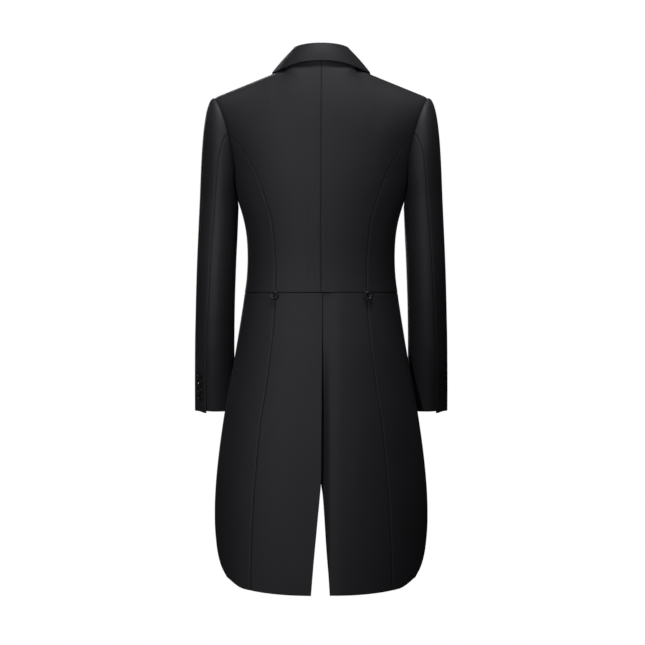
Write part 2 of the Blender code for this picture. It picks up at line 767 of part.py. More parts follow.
def make_sleeve(side_name, side):
    upper, lower, fore, front = armhole_turns()
    turns = upper + lower + fore[1:] + front[1:]
    lines = [sleeve_line(turn) for turn in turns[:-1]]
    count = len(lines)
    rows = len(lines[0])
    ring = [[lines[j % count][i] for j in range(-1, count + 1)] for i in range(rows)]
    normals = [[-n for n in row[1:-1]] for row in surface_normals(ring)]
    hind = len(upper)
    last = hind + len(lower) - 1 + len(fore) - 1
    pieces = {
        "undersleeve_": list(range(hind, last + 1)),
        "topsleeve_": [j % count for j in range(last, last + count - (last - hind) + 1)],
    }
    for name, columns in pieces.items():
        outer = drawn_in([[ring[i][j + 1] for j in columns] for i in range(rows)])
        across = [[normals[i][j] for j in columns] for i in range(rows)]
        inner = [[p - n * WALL for p, n in zip(line, out)] for line, out in zip(outer, across)]
        cloth(name + side_name, outer, inner, WOOL, side)


def folded_line(stand, tangent, leaf, edge):
    """Middle line of a folded strip: up the stand, round the roll and down the leaf, which lies on the body.

    The leaf is a row of (angle, height) pairs from the seam to the free edge. The tangent follows the seam.
    Where an edge point is given, the leaf hangs free from the roll to it instead.
    """
    foot = body(*leaf[0])
    tangent = tangent.normalized()
    away = foot - body(*leaf[1])
    away = (away - tangent * away.dot(tangent)).normalized()
    normal = tangent.cross(away)
    normal *= math.copysign(1, normal.dot(body_normal(*leaf[0])))
    up = (stand - tangent * stand.dot(tangent)).normalized()
    out = tangent.cross(up)
    out *= math.copysign(1, out.dot(normal - away))
    start = foot - normal * WALL / 2 + away * (FOLD_GAP - away.dot(out) * WALL / 2)
    top = start + stand
    line = [start, start.lerp(top, 0.5)]
    for turn in steps(0, math.pi, ROLL_STEPS):
        line.append(top + out * ROLL * (1 - math.cos(turn)) + up * ROLL * math.sin(turn))
    rolled = line[-1]
    for j, spot in enumerate(leaf[1:], 1):
        share = j / (len(leaf) - 1)
        if edge:
            line.append(rolled.lerp(edge, share) + out * LEAF_BOW * math.sin(math.pi * share))
        else:
            over = body(*spot) + body_normal(*spot) * LEAF_HEIGHT
            line.append(over + (rolled - foot - normal * LEAF_HEIGHT) * (1 - share))
    return line


def straight(start, end, count):
    return [tuple(a + (b - a) * t for a, b in zip(start, end)) for t in steps(0, 1, count)]


def strip(name, lines, look, side=1, open_start=False):
    """A wall of cloth on both sides of a grid of middle points."""
    normals = surface_normals(lines)
    if open_start:
        normals[0] = [Vector((0, n.y, n.z)).normalized() for n in normals[0]]
    outer = [[p + n * WALL / 2 for p, n in zip(line, out)] for line, out in zip(lines, normals)]
    inner = [[p - n * WALL / 2 for p, n in zip(line, out)] for line, out in zip(lines, normals)]
    return cloth(name, outer, inner, look, side, open_start)


def collar_stations():
    """Stand and leaf of each station of the collar's left half, from the centre back to the gorge."""
    stations = []
    for turn in steps(0, math.pi / 2, NECK_COLUMNS):
        x = NECK_HALF_WIDTH * math.sin(turn)
        seam_y, seam_z = shoulder_line(x)
        fold = Vector((
            FOLD_HALF_WIDTH * math.sin(turn),
            NECK_POINT_Y + (FOLD_BACK_Y - NECK_POINT_Y) * math.cos(turn),
            FOLD_SIDE_Z + (FOLD_BACK_Z - FOLD_SIDE_Z) * math.cos(turn),
        ))
        edge_x = COLLAR_EDGE_BACK[-1].x * math.sin(turn)
        edge_y, edge_z = (reading(COLLAR_EDGE_BACK, name, edge_x, key="x") for name in "yz")
        leaf = [(angle_at(x, seam_z), seam_z)] + [below_neck(x)] * LEAF_COLUMNS
        stations.append((fold - Vector((x, seam_y, seam_z)), leaf, Vector((edge_x, edge_y, edge_z))))
    side_stand = stations[-1][0]
    for share in steps(0, COLLAR_FRONT[-1].share, COLLAR_FRONT_STATIONS)[1:]:
        columns = COLLAR_FRONT[0]._fields[1:]
        x, edge_z, height = (reading(COLLAR_FRONT, name, share, key="share") for name in columns)
        z = NECK_POINT_Z + (GORGE_Z - NECK_POINT_Z) * share
        stand = side_stand * height + roll_start(z) * (1 - height)
        edge = angle_at(x, edge_z, front=True), edge_z
        stations.append((stand, straight(front_edge_at(z), edge, LEAF_COLUMNS), None))
    gorge_z = GORGE_Z + SEAM_GAP
    notch = angle_at(*LAPEL_NOTCH, front=True), LAPEL_NOTCH[1] + NOTCH_GAP
    stations.append((roll_start(gorge_z), straight(front_edge_at(gorge_z), notch, LEAF_COLUMNS), None))
    return stations


def roll_start(z):
    """The short stretch by which a lapel runs on past the front edge before it rolls back."""
    seam = front_edge_at(z)
    return (body(seam[0] + SMALL_TURN, z) - body(*seam)).normalized() * ROLL_START


def folded_lines(stations):
    feet = [body(*leaf[0]) for _, leaf, _ in stations]
    last = len(feet) - 1
    lines = []
    for i, (stand, leaf, edge) in enumerate(stations):
        tangent = feet[min(last, i + 1)] - feet[max(0, i - 1)]
        if i == 0 and abs(feet[0].x) < TINY:
            tangent = Vector((1, 0, 0))
        lines.append(folded_line(stand, tangent, leaf, edge))
    return lines


def make_collar():
    collar = strip("collar", folded_lines(collar_stations()), WOOL, open_start=True)
    mirror = collar.modifiers.new("mirror", "MIRROR")
    mirror.merge_threshold = 0.0001


def make_lapel(side_name, side):
    left = [front_edge_at(z) for z in steps(GORGE_Z - SEAM_GAP, BREAK_Z, LAPEL_STATIONS)]
    right = []
    for z in steps(LAPEL_BELLY[0].z, BREAK_Z, LAPEL_STATIONS):
        right.append((angle_at(reading(LAPEL_BELLY, "x", z), z, front=True), z))
    notch = angle_at(*LAPEL_NOTCH, front=True), LAPEL_NOTCH[1]
    top = straight(left[0], notch, LEAF_COLUMNS) + straight(notch, right[0], PEAK_COLUMNS)[1:]
    bottom = straight(left[-1], right[-1], len(top) - 1)
    grid = patch(top, bottom, left, right)
    stations = [(roll_start(row[0][1]), row, None) for row in grid]
    strip("lapel_" + side_name, folded_lines(stations), SILK, side)


def button_mesh(name, radius, height):
    """Outline of half a covered button, to be turned: flat back, rounded rim and dished face."""
    mesh = bmesh.new()
    points = [mesh.verts.new((radius * row.across, 0, height * row.up)) for row in BUTTON_OUTLINE]
    for one, other in zip(points, points[1:]):
        mesh.edges.new((one, other))
    data = bpy.data.meshes.new(name)
    mesh.to_mesh(data)
    mesh.free()
    return data


def make_button(name, radius, height, point, normal, look, side):
    button = new_object(name, button_mesh(name, radius, height), look)
    turned = button.modifiers.new("turned", "SCREW")
    turned.steps = turned.render_steps = BUTTON_STEPS
    turned.use_merge_vertices = True
    turned.merge_threshold = 0.0001
    point = Vector((point.x * side, point.y, point.z))
    normal = Vector((normal.x * side, normal.y, normal.z))
    turn = normal.to_track_quat("Z", "Y").to_matrix().to_4x4()
    button.matrix_world = Matrix.Translation(point) @ turn


def make_buttons(side_name, side):
    angle = angle_at(BACK_BUTTON_X, BACK_BUTTON_Z)
    normal = body_normal(angle, BACK_BUTTON_Z)
    seat = body(angle, BACK_BUTTON_Z) + normal * BUTTON_GAP
    make_button("back_button_" + side_name, BACK_BUTTON_RADIUS, BACK_BUTTON_HEIGHT, seat, normal, SILK, side)
    for i, row in enumerate(FRONT_BUTTONS, 1):
        angle = angle_at(row.x, row.z, front=True)
        normal = body_normal(angle, row.z)
        seat = body(angle, row.z) + normal * BUTTON_GAP
        name = f"front_button_{side_name}_{i}"
        make_button(name, FRONT_BUTTON_RADIUS, FRONT_BUTTON_HEIGHT, seat, normal, SILK, side)
    for i, z in enumerate(CUFF_BUTTON_HEIGHTS, 1):
        turn = math.radians(reading(SLEEVES, "hind", z)) - CUFF_BUTTON_FROM_SEAM
        point = sleeve_ring(z, turn)
        along = sleeve_ring(z, turn + SMALL_TURN) - point
        down = sleeve_ring(z - SMALL_RISE, turn) - point
        normal = down.cross(along).normalized()
        seat = point + normal * BUTTON_GAP
        name = f"cuff_button_{side_name}_{i}"
        make_button(name, CUFF_BUTTON_RADIUS, CUFF_BUTTON_HEIGHT, seat, normal, HORN, side)


def main():
    clear_scene()
    bpy.context.scene.collection.children.link(bpy.data.collections.new(COAT))
    for side_name, side in (("left", 1), ("right", -1)):
        make_back(side_name, side)
        make_side_body(side_name, side)
        make_front(side_name, side)
        make_tail_back(side_name, side)
        make_tail_side(side_name, side)
        make_sleeve(side_name, side)
        make_lapel(side_name, side)
        make_buttons(side_name, side)
    make_collar()


main()
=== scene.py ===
"""White tie tailcoat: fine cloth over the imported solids, with seams, edges, creases and materials.

Metres, +Z up. The front faces -Y and the wearer's left is +X. Every surface is worked out from the same
tables as its solid, at a finer step.
"""

import math
from collections import namedtuple

import bpy
import numpy as np
from mathutils import Matrix, Vector


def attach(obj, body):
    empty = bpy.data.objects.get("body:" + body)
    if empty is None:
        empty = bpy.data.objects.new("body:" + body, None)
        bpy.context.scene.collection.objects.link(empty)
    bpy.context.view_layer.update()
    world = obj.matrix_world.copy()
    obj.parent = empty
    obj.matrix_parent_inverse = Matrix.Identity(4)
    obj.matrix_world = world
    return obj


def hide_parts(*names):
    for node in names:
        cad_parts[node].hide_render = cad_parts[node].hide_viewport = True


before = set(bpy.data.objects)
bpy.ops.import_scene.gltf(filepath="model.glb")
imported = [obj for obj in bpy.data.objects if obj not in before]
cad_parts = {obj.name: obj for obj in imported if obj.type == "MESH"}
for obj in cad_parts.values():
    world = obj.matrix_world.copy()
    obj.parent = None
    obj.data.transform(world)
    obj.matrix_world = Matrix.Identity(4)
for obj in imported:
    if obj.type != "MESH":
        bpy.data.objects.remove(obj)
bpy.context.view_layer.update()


def table(columns, *rows):
    """Rows with named columns."""
    row_kind = namedtuple("Row", columns)
    return tuple(row_kind(*row) for row in rows)


# Cloth
WALL = 0.002
TINY = 0.00001
LEAST_LENGTH = 1e-12
SMALL_RISE = 0.0003
SMALL_TURN = math.radians(0.15)
SEAM_GAP = 0.0003
LAYER_GAP = 0.0018

# Neck and shoulders
NECK_HALF_WIDTH = 0.072
NAPE_Y = 0.076
NAPE_Z = -0.006
NECK_POINT_Y = 0.008
NECK_POINT_Z = -0.0265
SHOULDER_TIP_X = 0.218
SHOULDER_TIP_Y = -0.008
SHOULDER_TIP_Z = -0.0845
UNDERARM_Z = -0.262

# How far below the shoulder line the cloth still turns, at the centre and at the shoulder tip
BACK_TURN = (0.140, 0.110)
FRONT_TURN = (0.190, 0.120)
NECK_BEND = 0.38
PLAIN_BEND = 0.5
NECK_STEP = 0.006
NECK_BLUR = 0.8
NECK_BLUR_MOST = 0.040
NECK_BLUR_TAPS = 12
RING_POWER = 2.3

# Waist and seams
WAIST_Z = -0.485
SIDE_SEAM_ANGLE = math.radians(92)
TAIL_START_ANGLE = math.radians(125)
SIDE_PANEL_TOP = math.radians(79.4)
HIND_SEAM_TOP = math.radians(83)
FORE_SEAM_TOP = math.radians(245.5)

# Half width and depths of the body and tails at each height, from the middle of the ring
RINGS = table(
    "z half_width middle_y back front",
    (0.030, 0.275, -0.020, 0.128, 0.122),
    (-0.084, 0.250, -0.020, 0.132, 0.130),
    (-0.150, 0.225, -0.020, 0.133, 0.130),
    (-0.230, 0.191, -0.020, 0.132, 0.130),
    (-0.262, 0.183, -0.020, 0.130, 0.129),
    (-0.309, 0.1665, -0.020, 0.125, 0.126),
    (-0.340, 0.1580, -0.019, 0.121, 0.123),
    (-0.370, 0.1530, -0.018, 0.117, 0.119),
    (-0.410, 0.1510, -0.018, 0.112, 0.115),
    (-0.450, 0.1525, -0.017, 0.109, 0.113),
    (-0.485, 0.1568, -0.016, 0.110, 0.112),
    (-0.532, 0.1638, -0.013, 0.116, 0.112),
    (-0.614, 0.1770, -0.007, 0.124, 0.112),
    (-0.737, 0.1990, 0.001, 0.125, 0.110),
    (-0.840, 0.2125, 0.006, 0.124, 0.110),
    (-0.921, 0.2178, 0.009, 0.123, 0.110),
    (-1.110, 0.2190, 0.014, 0.120, 0.110),
)

# Armhole, from the shoulder tip down to the underarm
ARMHOLE = table(
    "z rear_x front_x",
    (-0.0845, 0.2180, 0.2180), (-0.1140, 0.2050, 0.2035), (-0.1530, 0.1920, 0.1880),
    (-0.1980, 0.1812, 0.1762), (-0.2360, 0.1772, 0.1745), (-0.2620, 0.1830, 0.1830),
)

# Curved back seam from the armhole to the waist, and the tail seam below it
BACK_SEAM = table(
    "z x",
    (-0.157, 0.1910), (-0.183, 0.1692), (-0.213, 0.1494), (-0.240, 0.1340), (-0.288, 0.1164),
    (-0.338, 0.1017), (-0.393, 0.0950), (-0.443, 0.0923), (-0.485, 0.0937), (-0.555, 0.0971),
    (-0.628, 0.1054), (-0.692, 0.1140), (-0.742, 0.1225), (-0.839, 0.1318), (-0.950, 0.1397),
    (-1.100, 0.1440),
)

# Vent edges of the two tails, each measured from the centre line towards its own side
VENT = table(
    "z left_x right_x",
    (-0.485, -0.0028, -0.0270), (-0.680, -0.0012, -0.0180), (-0.865, 0.0004, -0.0010),
    (-0.895, 0.0025, 0.0032), (-0.935, 0.0063, 0.0063), (-0.976, 0.0101, 0.0088), (-1.015, 0.0138, 0.0115),
    (-1.056, 0.0173, 0.0149), (-1.100, 0.0208, 0.0177),
)
VENT_LIFT = 0.005
VENT_LIFT_REACH = 0.060
VENT_LIFT_DROP = 0.400
UNDERLAP_TURN = (0.040, 0.005)
VENT_ROLL = 0.0120
VENT_ROLL_REACH = 0.019
VENT_ROLL_DROP = 0.300

# Front edge of the tail as an angle round the ring, then as a half width where the corner rounds off
TAIL_EDGE = table(
    "z degrees",
    (-0.485, 125), (-0.540, 113.5), (-0.600, 103), (-0.660, 94.5), (-0.727, 90), (-0.830, 87.5),
    (-0.921, 86.1),
)
TAIL_CORNER = table(
    "z x",
    (-0.921, 0.2176), (-0.962, 0.2168), (-1.003, 0.2125), (-1.023, 0.2085), (-1.0425, 0.2020),
    (-1.0618, 0.1913),
)
HEM = table(
    "x z",
    (0.0000, -1.0955), (0.0600, -1.0948), (0.1044, -1.0917), (0.1387, -1.0870), (0.1648, -1.0805),
    (0.1913, -1.0618),
)

# Front edge: the roll line down to the break, then the edge down to the front point
FRONT_EDGE = table(
    "z x",
    (-0.0265, 0.0720), (-0.088, 0.0665), (-0.200, 0.0650), (-0.395, 0.0620), (-0.520, 0.0550),
)
FRONT_POINT_Z = -0.520
SLANT_BOW = 0.8
GORGE_Z = -0.088
BREAK_Z = -0.395

# Free edge of the lapel: notch, tip and belly down to the break
LAPEL_NOTCH = (0.112, -0.132)
LAPEL_BELLY = table(
    "z x",
    (-0.104, 0.1580), (-0.150, 0.1500), (-0.220, 0.1310), (-0.300, 0.1030), (-0.360, 0.0770),
    (-0.395, 0.0640),
)

# Collar: fold heights and the edge of the fall, on the back and then over the front to the collar corner
ROLL = 0.0022
ROLL_START = 0.0008
LEAF_BOW = 0.0015
LEAF_HEIGHT = ROLL * 2 - WALL / 2
FOLD_GAP = SEAM_GAP * 1.5
NOTCH_GAP = SEAM_GAP * 3
FOLD_HALF_WIDTH = 0.0545
FOLD_BACK_Y = 0.070
FOLD_BACK_Z = 0.0185
FOLD_SIDE_Z = 0.0105
FOLD_STEPS = 10
FOOT_SHARE = 0.2
COLLAR_EDGE_BACK = table(
    "x y z",
    (0.0000, 0.0865, -0.0150), (0.0224, 0.0852, -0.0158), (0.0434, 0.0795, -0.0188),
    (0.0643, 0.0675, -0.0245), (0.0823, 0.0465, -0.0305), (0.0918, 0.0265, -0.0334),
    (0.0993, 0.0057, -0.0337),
)
COLLAR_FRONT = table(
    "share edge_x edge_z stand",
    (0.00, 0.0985, -0.0375, 1.00),
    (0.30, 0.1080, -0.0515, 0.84),
    (0.60, 0.1165, -0.0700, 0.48),
    (0.90, 0.1240, -0.0960, 0.08),
)

# Sleeve below the armhole: its outer and inner edge seen from behind, its middle from the side, and its depth
SLEEVES = table(
    "z outer_x inner_x middle_y half_depth lean hind fore",
    (-0.300, 0.2494, 0.1690, -0.010, 0.0740, 0.0, 80, 246),
    (-0.368, 0.2523, 0.1715, -0.004, 0.0690, 1.0, 76, 245),
    (-0.409, 0.2540, 0.1735, -0.001, 0.0665, 2.0, 74, 244),
    (-0.450, 0.2554, 0.1750, 0.000, 0.0640, 4.0, 73, 243),
    (-0.491, 0.2567, 0.1765, -0.003, 0.0620, 7.0, 71, 242),
    (-0.532, 0.2578, 0.1775, -0.010, 0.0600, 10.0, 70, 241),
    (-0.573, 0.2591, 0.1782, -0.020, 0.0580, 12.5, 69, 240),
    (-0.614, 0.2600, 0.1785, -0.034, 0.0560, 13.5, 68, 239),
    (-0.655, 0.2607, 0.1787, -0.049, 0.0540, 12.0, 67, 238),
    (-0.692, 0.2612, 0.1787, -0.062, 0.0525, 7.5, 67, 237),
    (-0.7275, 0.2614, 0.1785, -0.073, 0.0515, 2.0, 67, 236),
)
SLEEVE_HEAD_OUT = 0.080
SLEEVE_HEAD_RISE = 0.075
SLEEVE_HEAD_BACK = 0.35
SLEEVE_UNDER_IN = 0.30
SLEEVE_UNDER_CLEAR = 0.0004
SLEEVE_CLEAR = 0.0016
SLEEVE_CLEAR_TOP = -0.17
SLEEVE_STEP = 0.002
SLEEVE_CLOSE_REACH = 0.005
ARMHOLE_ALLOWANCE = (0.0035, 0.0008)

# False cuff vent: where it starts, how its upper edge lifts and drops, and how the under sleeve runs beneath
CUFF_VENT_TOP = -0.612
CUFF_VENT_BLEND = 0.020
CUFF_VENT_LIFT = 0.0010
CUFF_VENT_TUCK = 0.0026
CUFF_VENT_LAP = 0.0060
CUFF_VENT_REACH = 0.016
CUFF_CORNER_DROP = 0.0030
CUFF_CORNER_TOP = -0.690
CUFF_CORNER_BLEND = 0.036
CUFF_CORNER_REACH = 0.024

# Buttons
BACK_BUTTON_RADIUS = 0.0095
BACK_BUTTON_HEIGHT = 0.0060
BACK_BUTTON_X = 0.0941
BACK_BUTTON_Z = -0.492
CUFF_BUTTON_RADIUS = 0.0075
CUFF_BUTTON_HEIGHT = 0.0035
CUFF_BUTTON_HEIGHTS = (-0.6434, -0.6602, -0.6770, -0.6938)
CUFF_BUTTON_FROM_SEAM = math.radians(19)
FRONT_BUTTON_RADIUS = 0.0100
FRONT_BUTTON_HEIGHT = 0.0055
FRONT_BUTTONS = table(
    "x z",
    (0.118, -0.335), (0.104, -0.400), (0.092, -0.465),
)
BUTTON_GAP = 0.0007
BUTTON_SHARP = math.radians(50)
COVERED_OUTLINE = table(
    "across up",
    (0.00, 0.58), (0.36, 0.60), (0.56, 0.70), (0.66, 1.02), (0.86, 1.00), (1.01, 0.72), (1.00, 0.30),
    (0.84, 0.00), (0.00, 0.00),
)
HORN_OUTLINE = table(
    "across up",
    (0.00, 0.62), (0.42, 0.62), (0.66, 0.70), (0.76, 0.97), (0.90, 1.00), (1.00, 0.80), (1.00, 0.50),
    (0.86, 0.16), (0.55, 0.02), (0.00, 0.00),
)
CORNER_ROUNDS = 3
CORNER_CUT = 0.25
LEAST_ACROSS = 0.02
BUTTON_ROUND = 56
FOOT_OUTLINE = table("across up", (0.8, 1.0), (1.0, 0.5), (1.15, -0.4), (1.1, -1.6))
FOOT_RADIUS = 0.0020
FOOT_HEIGHT = 0.0008
FOOT_ROUND = 16
HOLE_OUTLINE = table("across up", (1, 2), (1, -1))
HOLE_FROM_MIDDLE = 0.0014
HOLE_RADIUS = 0.00075
HOLE_ROUND = 14
THREAD_RADIUS = 0.00042
THREAD_HEIGHT = 0.0027
THREAD_DROP = 0.0012
ARCH_STEPS = 10
TUBE_SIDES = 8
STEEP = 0.9

# Rows and columns of each panel
NECK_COLUMNS = 7
SHOULDER_COLUMNS = 8
ARMHOLE_UPPER_ROWS = 5
SIDE_COLUMNS = 5
BODY_ROWS = 10
FRONT_ARMHOLE_ROWS = 11
FORE_ROWS_BELOW = 4
TAIL_FRONT_COLUMNS = 3
TAIL_BACK_COLUMNS = 5
TAIL_ROWS = 15
TAIL_ROW_CROWDING = 1.5
COLLAR_FRONT_STATIONS = 5
LAPEL_STATIONS = 12
LEAF_COLUMNS = 5
STAND_ROWS = 8
NOTCH_STATIONS = 2
PEAK_COLUMNS = 3
HEAD_ROWS = 8
SLEEVE_ROWS = 10

# Finer steps than the solids', beside the edges too, and rounded rims
FINE = 6
EDGE_ROWS = (0.0006, 0.0014, 0.0026, 0.0045, 0.0075)
FIRST_CLEAR_ROW = 0.0100
RIM_REACH = 0.0005
RIM_STEPS = 6
EDGE_DRAWN_IN = RIM_REACH - 0.00015
SLEEVE_HEAD_UNDER = -0.0010
DRAWN_REACH = 2.4
WAIST_LEVEL_REACH = 0.006
WAIST_UNDER = 0.004
WAIST_UNDER_REACH = 0.015
# Outer faces this close to the waist seam take the darker seam look, a painted line of shade
WAIST_SHADE = 0.0009

# Pressed seams: a narrow dip at the seam, then a faint flat ridge over the turned-in edges beneath
SEAM_DIP = 0.00045
ARMHOLE_DIP = 0.0012
ARMHOLE_LINE_STEPS = 180
ARMHOLE_DIP_REACH = 0.0055
SEAM_DIP_REACH = 0.0013
SEAM_RIDGE = 0.00016
SEAM_RIDGE_REACH = 0.00665
SEAM_RIDGE_FADE = 0.003


def steps(first, last, count):
    return np.linspace(first, last, count + 1)


def mix(start, end, t):
    return start + (end - start) * t


def curve(start, end, leave, arrive, t):
    """Point at the share t of a smooth curve, from its ends and the directions it leaves and arrives in."""
    first = start * ((1 + 2 * t) * (1 - t) ** 2) + leave * (t * (1 - t) ** 2)
    return first + end * (t * t * (3 - 2 * t)) + arrive * (t * t * (t - 1))


def eased(t):
    t = np.clip(t, 0, 1)
    return t * t * (3 - 2 * t)


def crowded(count, length, start=True, end=True, fine=FINE):
    """Shares from 0 to 1 in fine steps, with extra ones close to the ends. The length is in metres."""
    near = np.array(EDGE_ROWS) / length
    low = FIRST_CLEAR_ROW / length if start else 0
    high = 1 - FIRST_CLEAR_ROW / length if end else 1
    middle = [t for t in steps(0, 1, count * fine)[1:-1] if low <= t <= high]
    return np.array([0, *(near if start else ()), *middle, *(1 - near[::-1] if end else ()), 1])


def reading(rows, column, at, key="z"):
    """Values of a table's column at some heights, on a smooth curve through the rows."""
    spots = np.array([getattr(row, key) for row in rows], float)
    values = np.array([getattr(row, column) for row in rows], float)
    if spots[0] > spots[-1]:
        spots, values = spots[::-1], values[::-1]
    at = np.clip(at, spots[0], spots[-1])
    every = np.arange(len(spots))
    i = np.clip(np.searchsorted(spots, at, side="left") - 1, 0, every[-2])
    low, high = np.maximum(0, every - 1), np.minimum(every[-1], every + 1)
    slope = (values[high] - values[low]) / (spots[high] - spots[low])
    width = spots[i + 1] - spots[i]
    return curve(values[i], values[i + 1], width * slope[i], width * slope[i + 1], (at - spots[i]) / width)


def shoulder_line(x):
    """Depth and height of the neck seam and then of the shoulder seam, at a distance from the centre."""
    level = np.sqrt(np.maximum(0, 1 - (x / NECK_HALF_WIDTH) ** 2))
    t = (x - NECK_HALF_WIDTH) / (SHOULDER_TIP_X - NECK_HALF_WIDTH)
    on_neck = x < NECK_HALF_WIDTH
    y = np.where(on_neck, mix(NECK_POINT_Y, NAPE_Y, level), mix(NECK_POINT_Y, SHOULDER_TIP_Y, t))
    z = np.where(on_neck, mix(NECK_POINT_Z, NAPE_Z, level), mix(NECK_POINT_Z, SHOULDER_TIP_Z, t))
    return y, z


def turned_in(across, depth, z, at_back):
    """Depth of the surface where the shoulder rounds off, from the depth of the plain ring."""
    top_y, top_z = shoulder_line(np.where(at_back, across, np.maximum(across, NECK_HALF_WIDTH)))
    share = across / NECK_HALF_WIDTH
    inner = mix(1, NECK_BEND, share**2)
    outer = mix(NECK_BEND, PLAIN_BEND, eased(share - 1))
    bend = np.where(at_back, np.where(share < 1, inner, outer), PLAIN_BEND)
    at_tip = np.minimum(1.0, across / SHOULDER_TIP_X)
    reach = np.where(at_back, mix(*BACK_TURN, at_tip), mix(*FRONT_TURN, at_tip))
    drop = np.clip((top_z - z) / reach, 0, 1)
    return mix(top_y, depth, (1 - (1 - drop) ** 2) ** bend)


def body(spots):
    """Points on the outside of the body at (angle, height) pairs. The angle is 0 at the centre back."""
    spots = np.asarray(spots, float)
    angle, z = spots[..., 0], spots[..., 1]
    width = reading(RINGS, "half_width", z)
    at_back = np.cos(angle) >= 0
    depth = np.where(at_back, reading(RINGS, "back", z), reading(RINGS, "front", z))
    sine, cosine = np.sin(angle), np.cos(angle)
    radius = (np.abs(sine) ** RING_POWER + np.abs(cosine) ** RING_POWER) ** (-1 / RING_POWER)
    x = width * radius * sine
    y = reading(RINGS, "middle_y", z) + depth * radius * cosine
    below = np.maximum(0, shoulder_line(np.abs(x))[1] - z)
    blur = np.where(at_back & (below < BACK_TURN[0]), np.minimum(NECK_BLUR_MOST, NECK_BLUR * below), 0)
    total = 0.0
    for tap in range(-NECK_BLUR_TAPS, NECK_BLUR_TAPS + 1):
        weight = (NECK_BLUR_TAPS + 1 - abs(tap)) / (NECK_BLUR_TAPS + 1) ** 2
        total = total + weight * turned_in(np.abs(x + blur * tap / NECK_BLUR_TAPS), y, z, at_back)
    return np.stack([x, total, z], -1)


def unit(vectors):
    return vectors / np.maximum(np.linalg.norm(vectors, axis=-1, keepdims=True), LEAST_LENGTH)


def square(vectors, along):
    """Unit directions of what is left of the vectors square to others."""
    return unit(vectors - along * (vectors * along).sum(-1, keepdims=True))


def below_neck(x):
    """(angle, height) of the body's surface a little way out from the neck seam."""
    share = x / NECK_HALF_WIDTH
    out_x = x + NECK_STEP * share
    z = shoulder_line(out_x)[1] - NECK_STEP * np.sqrt(np.maximum(0, 1 - share * share))
    return angle_at(out_x, z), z


def body_normal(spots):
    """Outward directions of the body's surface, square to the neck and shoulder seams on them."""
    spots = np.asarray(spots, float)
    here = body(spots)
    across, z = np.abs(here[..., 0]), here[..., 2]
    turn, rise = np.array([SMALL_TURN, 0]), np.array([0, SMALL_RISE])
    along = body(spots + turn) - body(spots - turn)
    up = body(spots + rise) - body(spots - rise)
    normal = unit(np.cross(up, along))
    share = np.clip(here[..., 0] / NECK_HALF_WIDTH, -1, 1)
    level = np.sqrt(1 - share * share)
    tangent = np.stack([
        NECK_HALF_WIDTH * level, (NECK_POINT_Y - NAPE_Y) * share, (NECK_POINT_Z - NAPE_Z) * share
    ], -1)
    out = body(np.stack(below_neck(share * NECK_HALF_WIDTH), -1)) - here
    close = shoulder_line(across)[1] - z < TINY
    on_neck = close & (np.cos(spots[..., 0]) > 0) & (across < NECK_HALF_WIDTH - TINY)
    normal = np.where(on_neck[..., None], unit(np.cross(tangent, out)), normal)
    on_shoulder = (across > NECK_HALF_WIDTH - TINY) & (across < SHOULDER_TIP_X + TINY)
    on_shoulder &= shoulder_line(np.maximum(across, NECK_HALF_WIDTH))[1] - z < TINY
    fall = (NECK_POINT_Z - SHOULDER_TIP_Z) / (SHOULDER_TIP_X - NECK_HALF_WIDTH)
    ridge = unit(np.stack([np.copysign(fall, here[..., 0]), 0 * z, 1 + 0 * z], -1))
    return np.where(on_shoulder[..., None], ridge, normal)


def angle_at(x, z, front=False):
    """Angle round the ring of the point with this x, on the back or on the front."""
    share = np.minimum(1.0, np.abs(x) / reading(RINGS, "half_width", z))
    deep = (1 - share**RING_POWER) ** (1 / RING_POWER)
    return np.arctan2(np.copysign(share, x), -deep if front else deep)


def spots_at(x, z, front=False):
    z = np.asarray(z, float) + 0 * np.asarray(x, float)
    return np.stack([angle_at(x, z, front), z], -1)


def patch(top, bottom, left, right, u=None):
    """Grid of (angle, height) pairs between four edges, whose corners agree."""
    v = ((right[0, 1] - right[:, 1]) / (right[0, 1] - right[-1, 1]))[:, None, None]
    u = (np.linspace(0, 1, len(top)) if u is None else u)[None, :, None]
    across = (1 - v) * top[None] + v * bottom[None]
    down = (1 - u) * left[:, None] + u * right[:, None]
    corners = (1 - v) * ((1 - u) * top[0] + u * top[-1]) + v * ((1 - u) * bottom[0] + u * bottom[-1])
    return across + down - corners


def differences(grid):
    """Unit directions along a row and down a column, at each point."""
    along, down = np.empty_like(grid), np.empty_like(grid)
    along[:, 1:-1] = grid[:, 2:] - grid[:, :-2]
    along[:, 0] = grid[:, 1] - grid[:, 0]
    along[:, -1] = grid[:, -1] - grid[:, -2]
    down[1:-1] = grid[2:] - grid[:-2]
    down[0] = grid[1] - grid[0]
    down[-1] = grid[-1] - grid[-2]
    return unit(along), unit(down)


def grid_normals(grid):
    return unit(np.cross(*differences(grid)))


def far_from_edges(grid):
    """Distance along the cloth from the first column, last column, first row and last row."""
    rows = np.linalg.norm(np.diff(grid, axis=1), axis=-1)
    columns = np.linalg.norm(np.diff(grid, axis=0), axis=-1)
    left = np.concatenate([np.zeros((len(grid), 1)), np.cumsum(rows, 1)], 1)
    top = np.concatenate([np.zeros((1, grid.shape[1])), np.cumsum(columns, 0)], 0)
    return left, left[:, -1:] - left, top, top[-1:] - top


def pressed(grid, seams):
    """How far a panel moves out beside its seams, and in on them. seams has a letter for each sewn edge."""
    moved = np.zeros(grid.shape[:2])
    for letter, far in zip("lrtb", far_from_edges(grid)):
        if letter in seams:
            moved -= SEAM_DIP * np.exp(-((far / SEAM_DIP_REACH) ** 2))
            rise = eased(far / SEAM_DIP_REACH / 2)
            moved += SEAM_RIDGE * rise * (1 - eased((far - SEAM_RIDGE_REACH) / SEAM_RIDGE_FADE))
    return moved


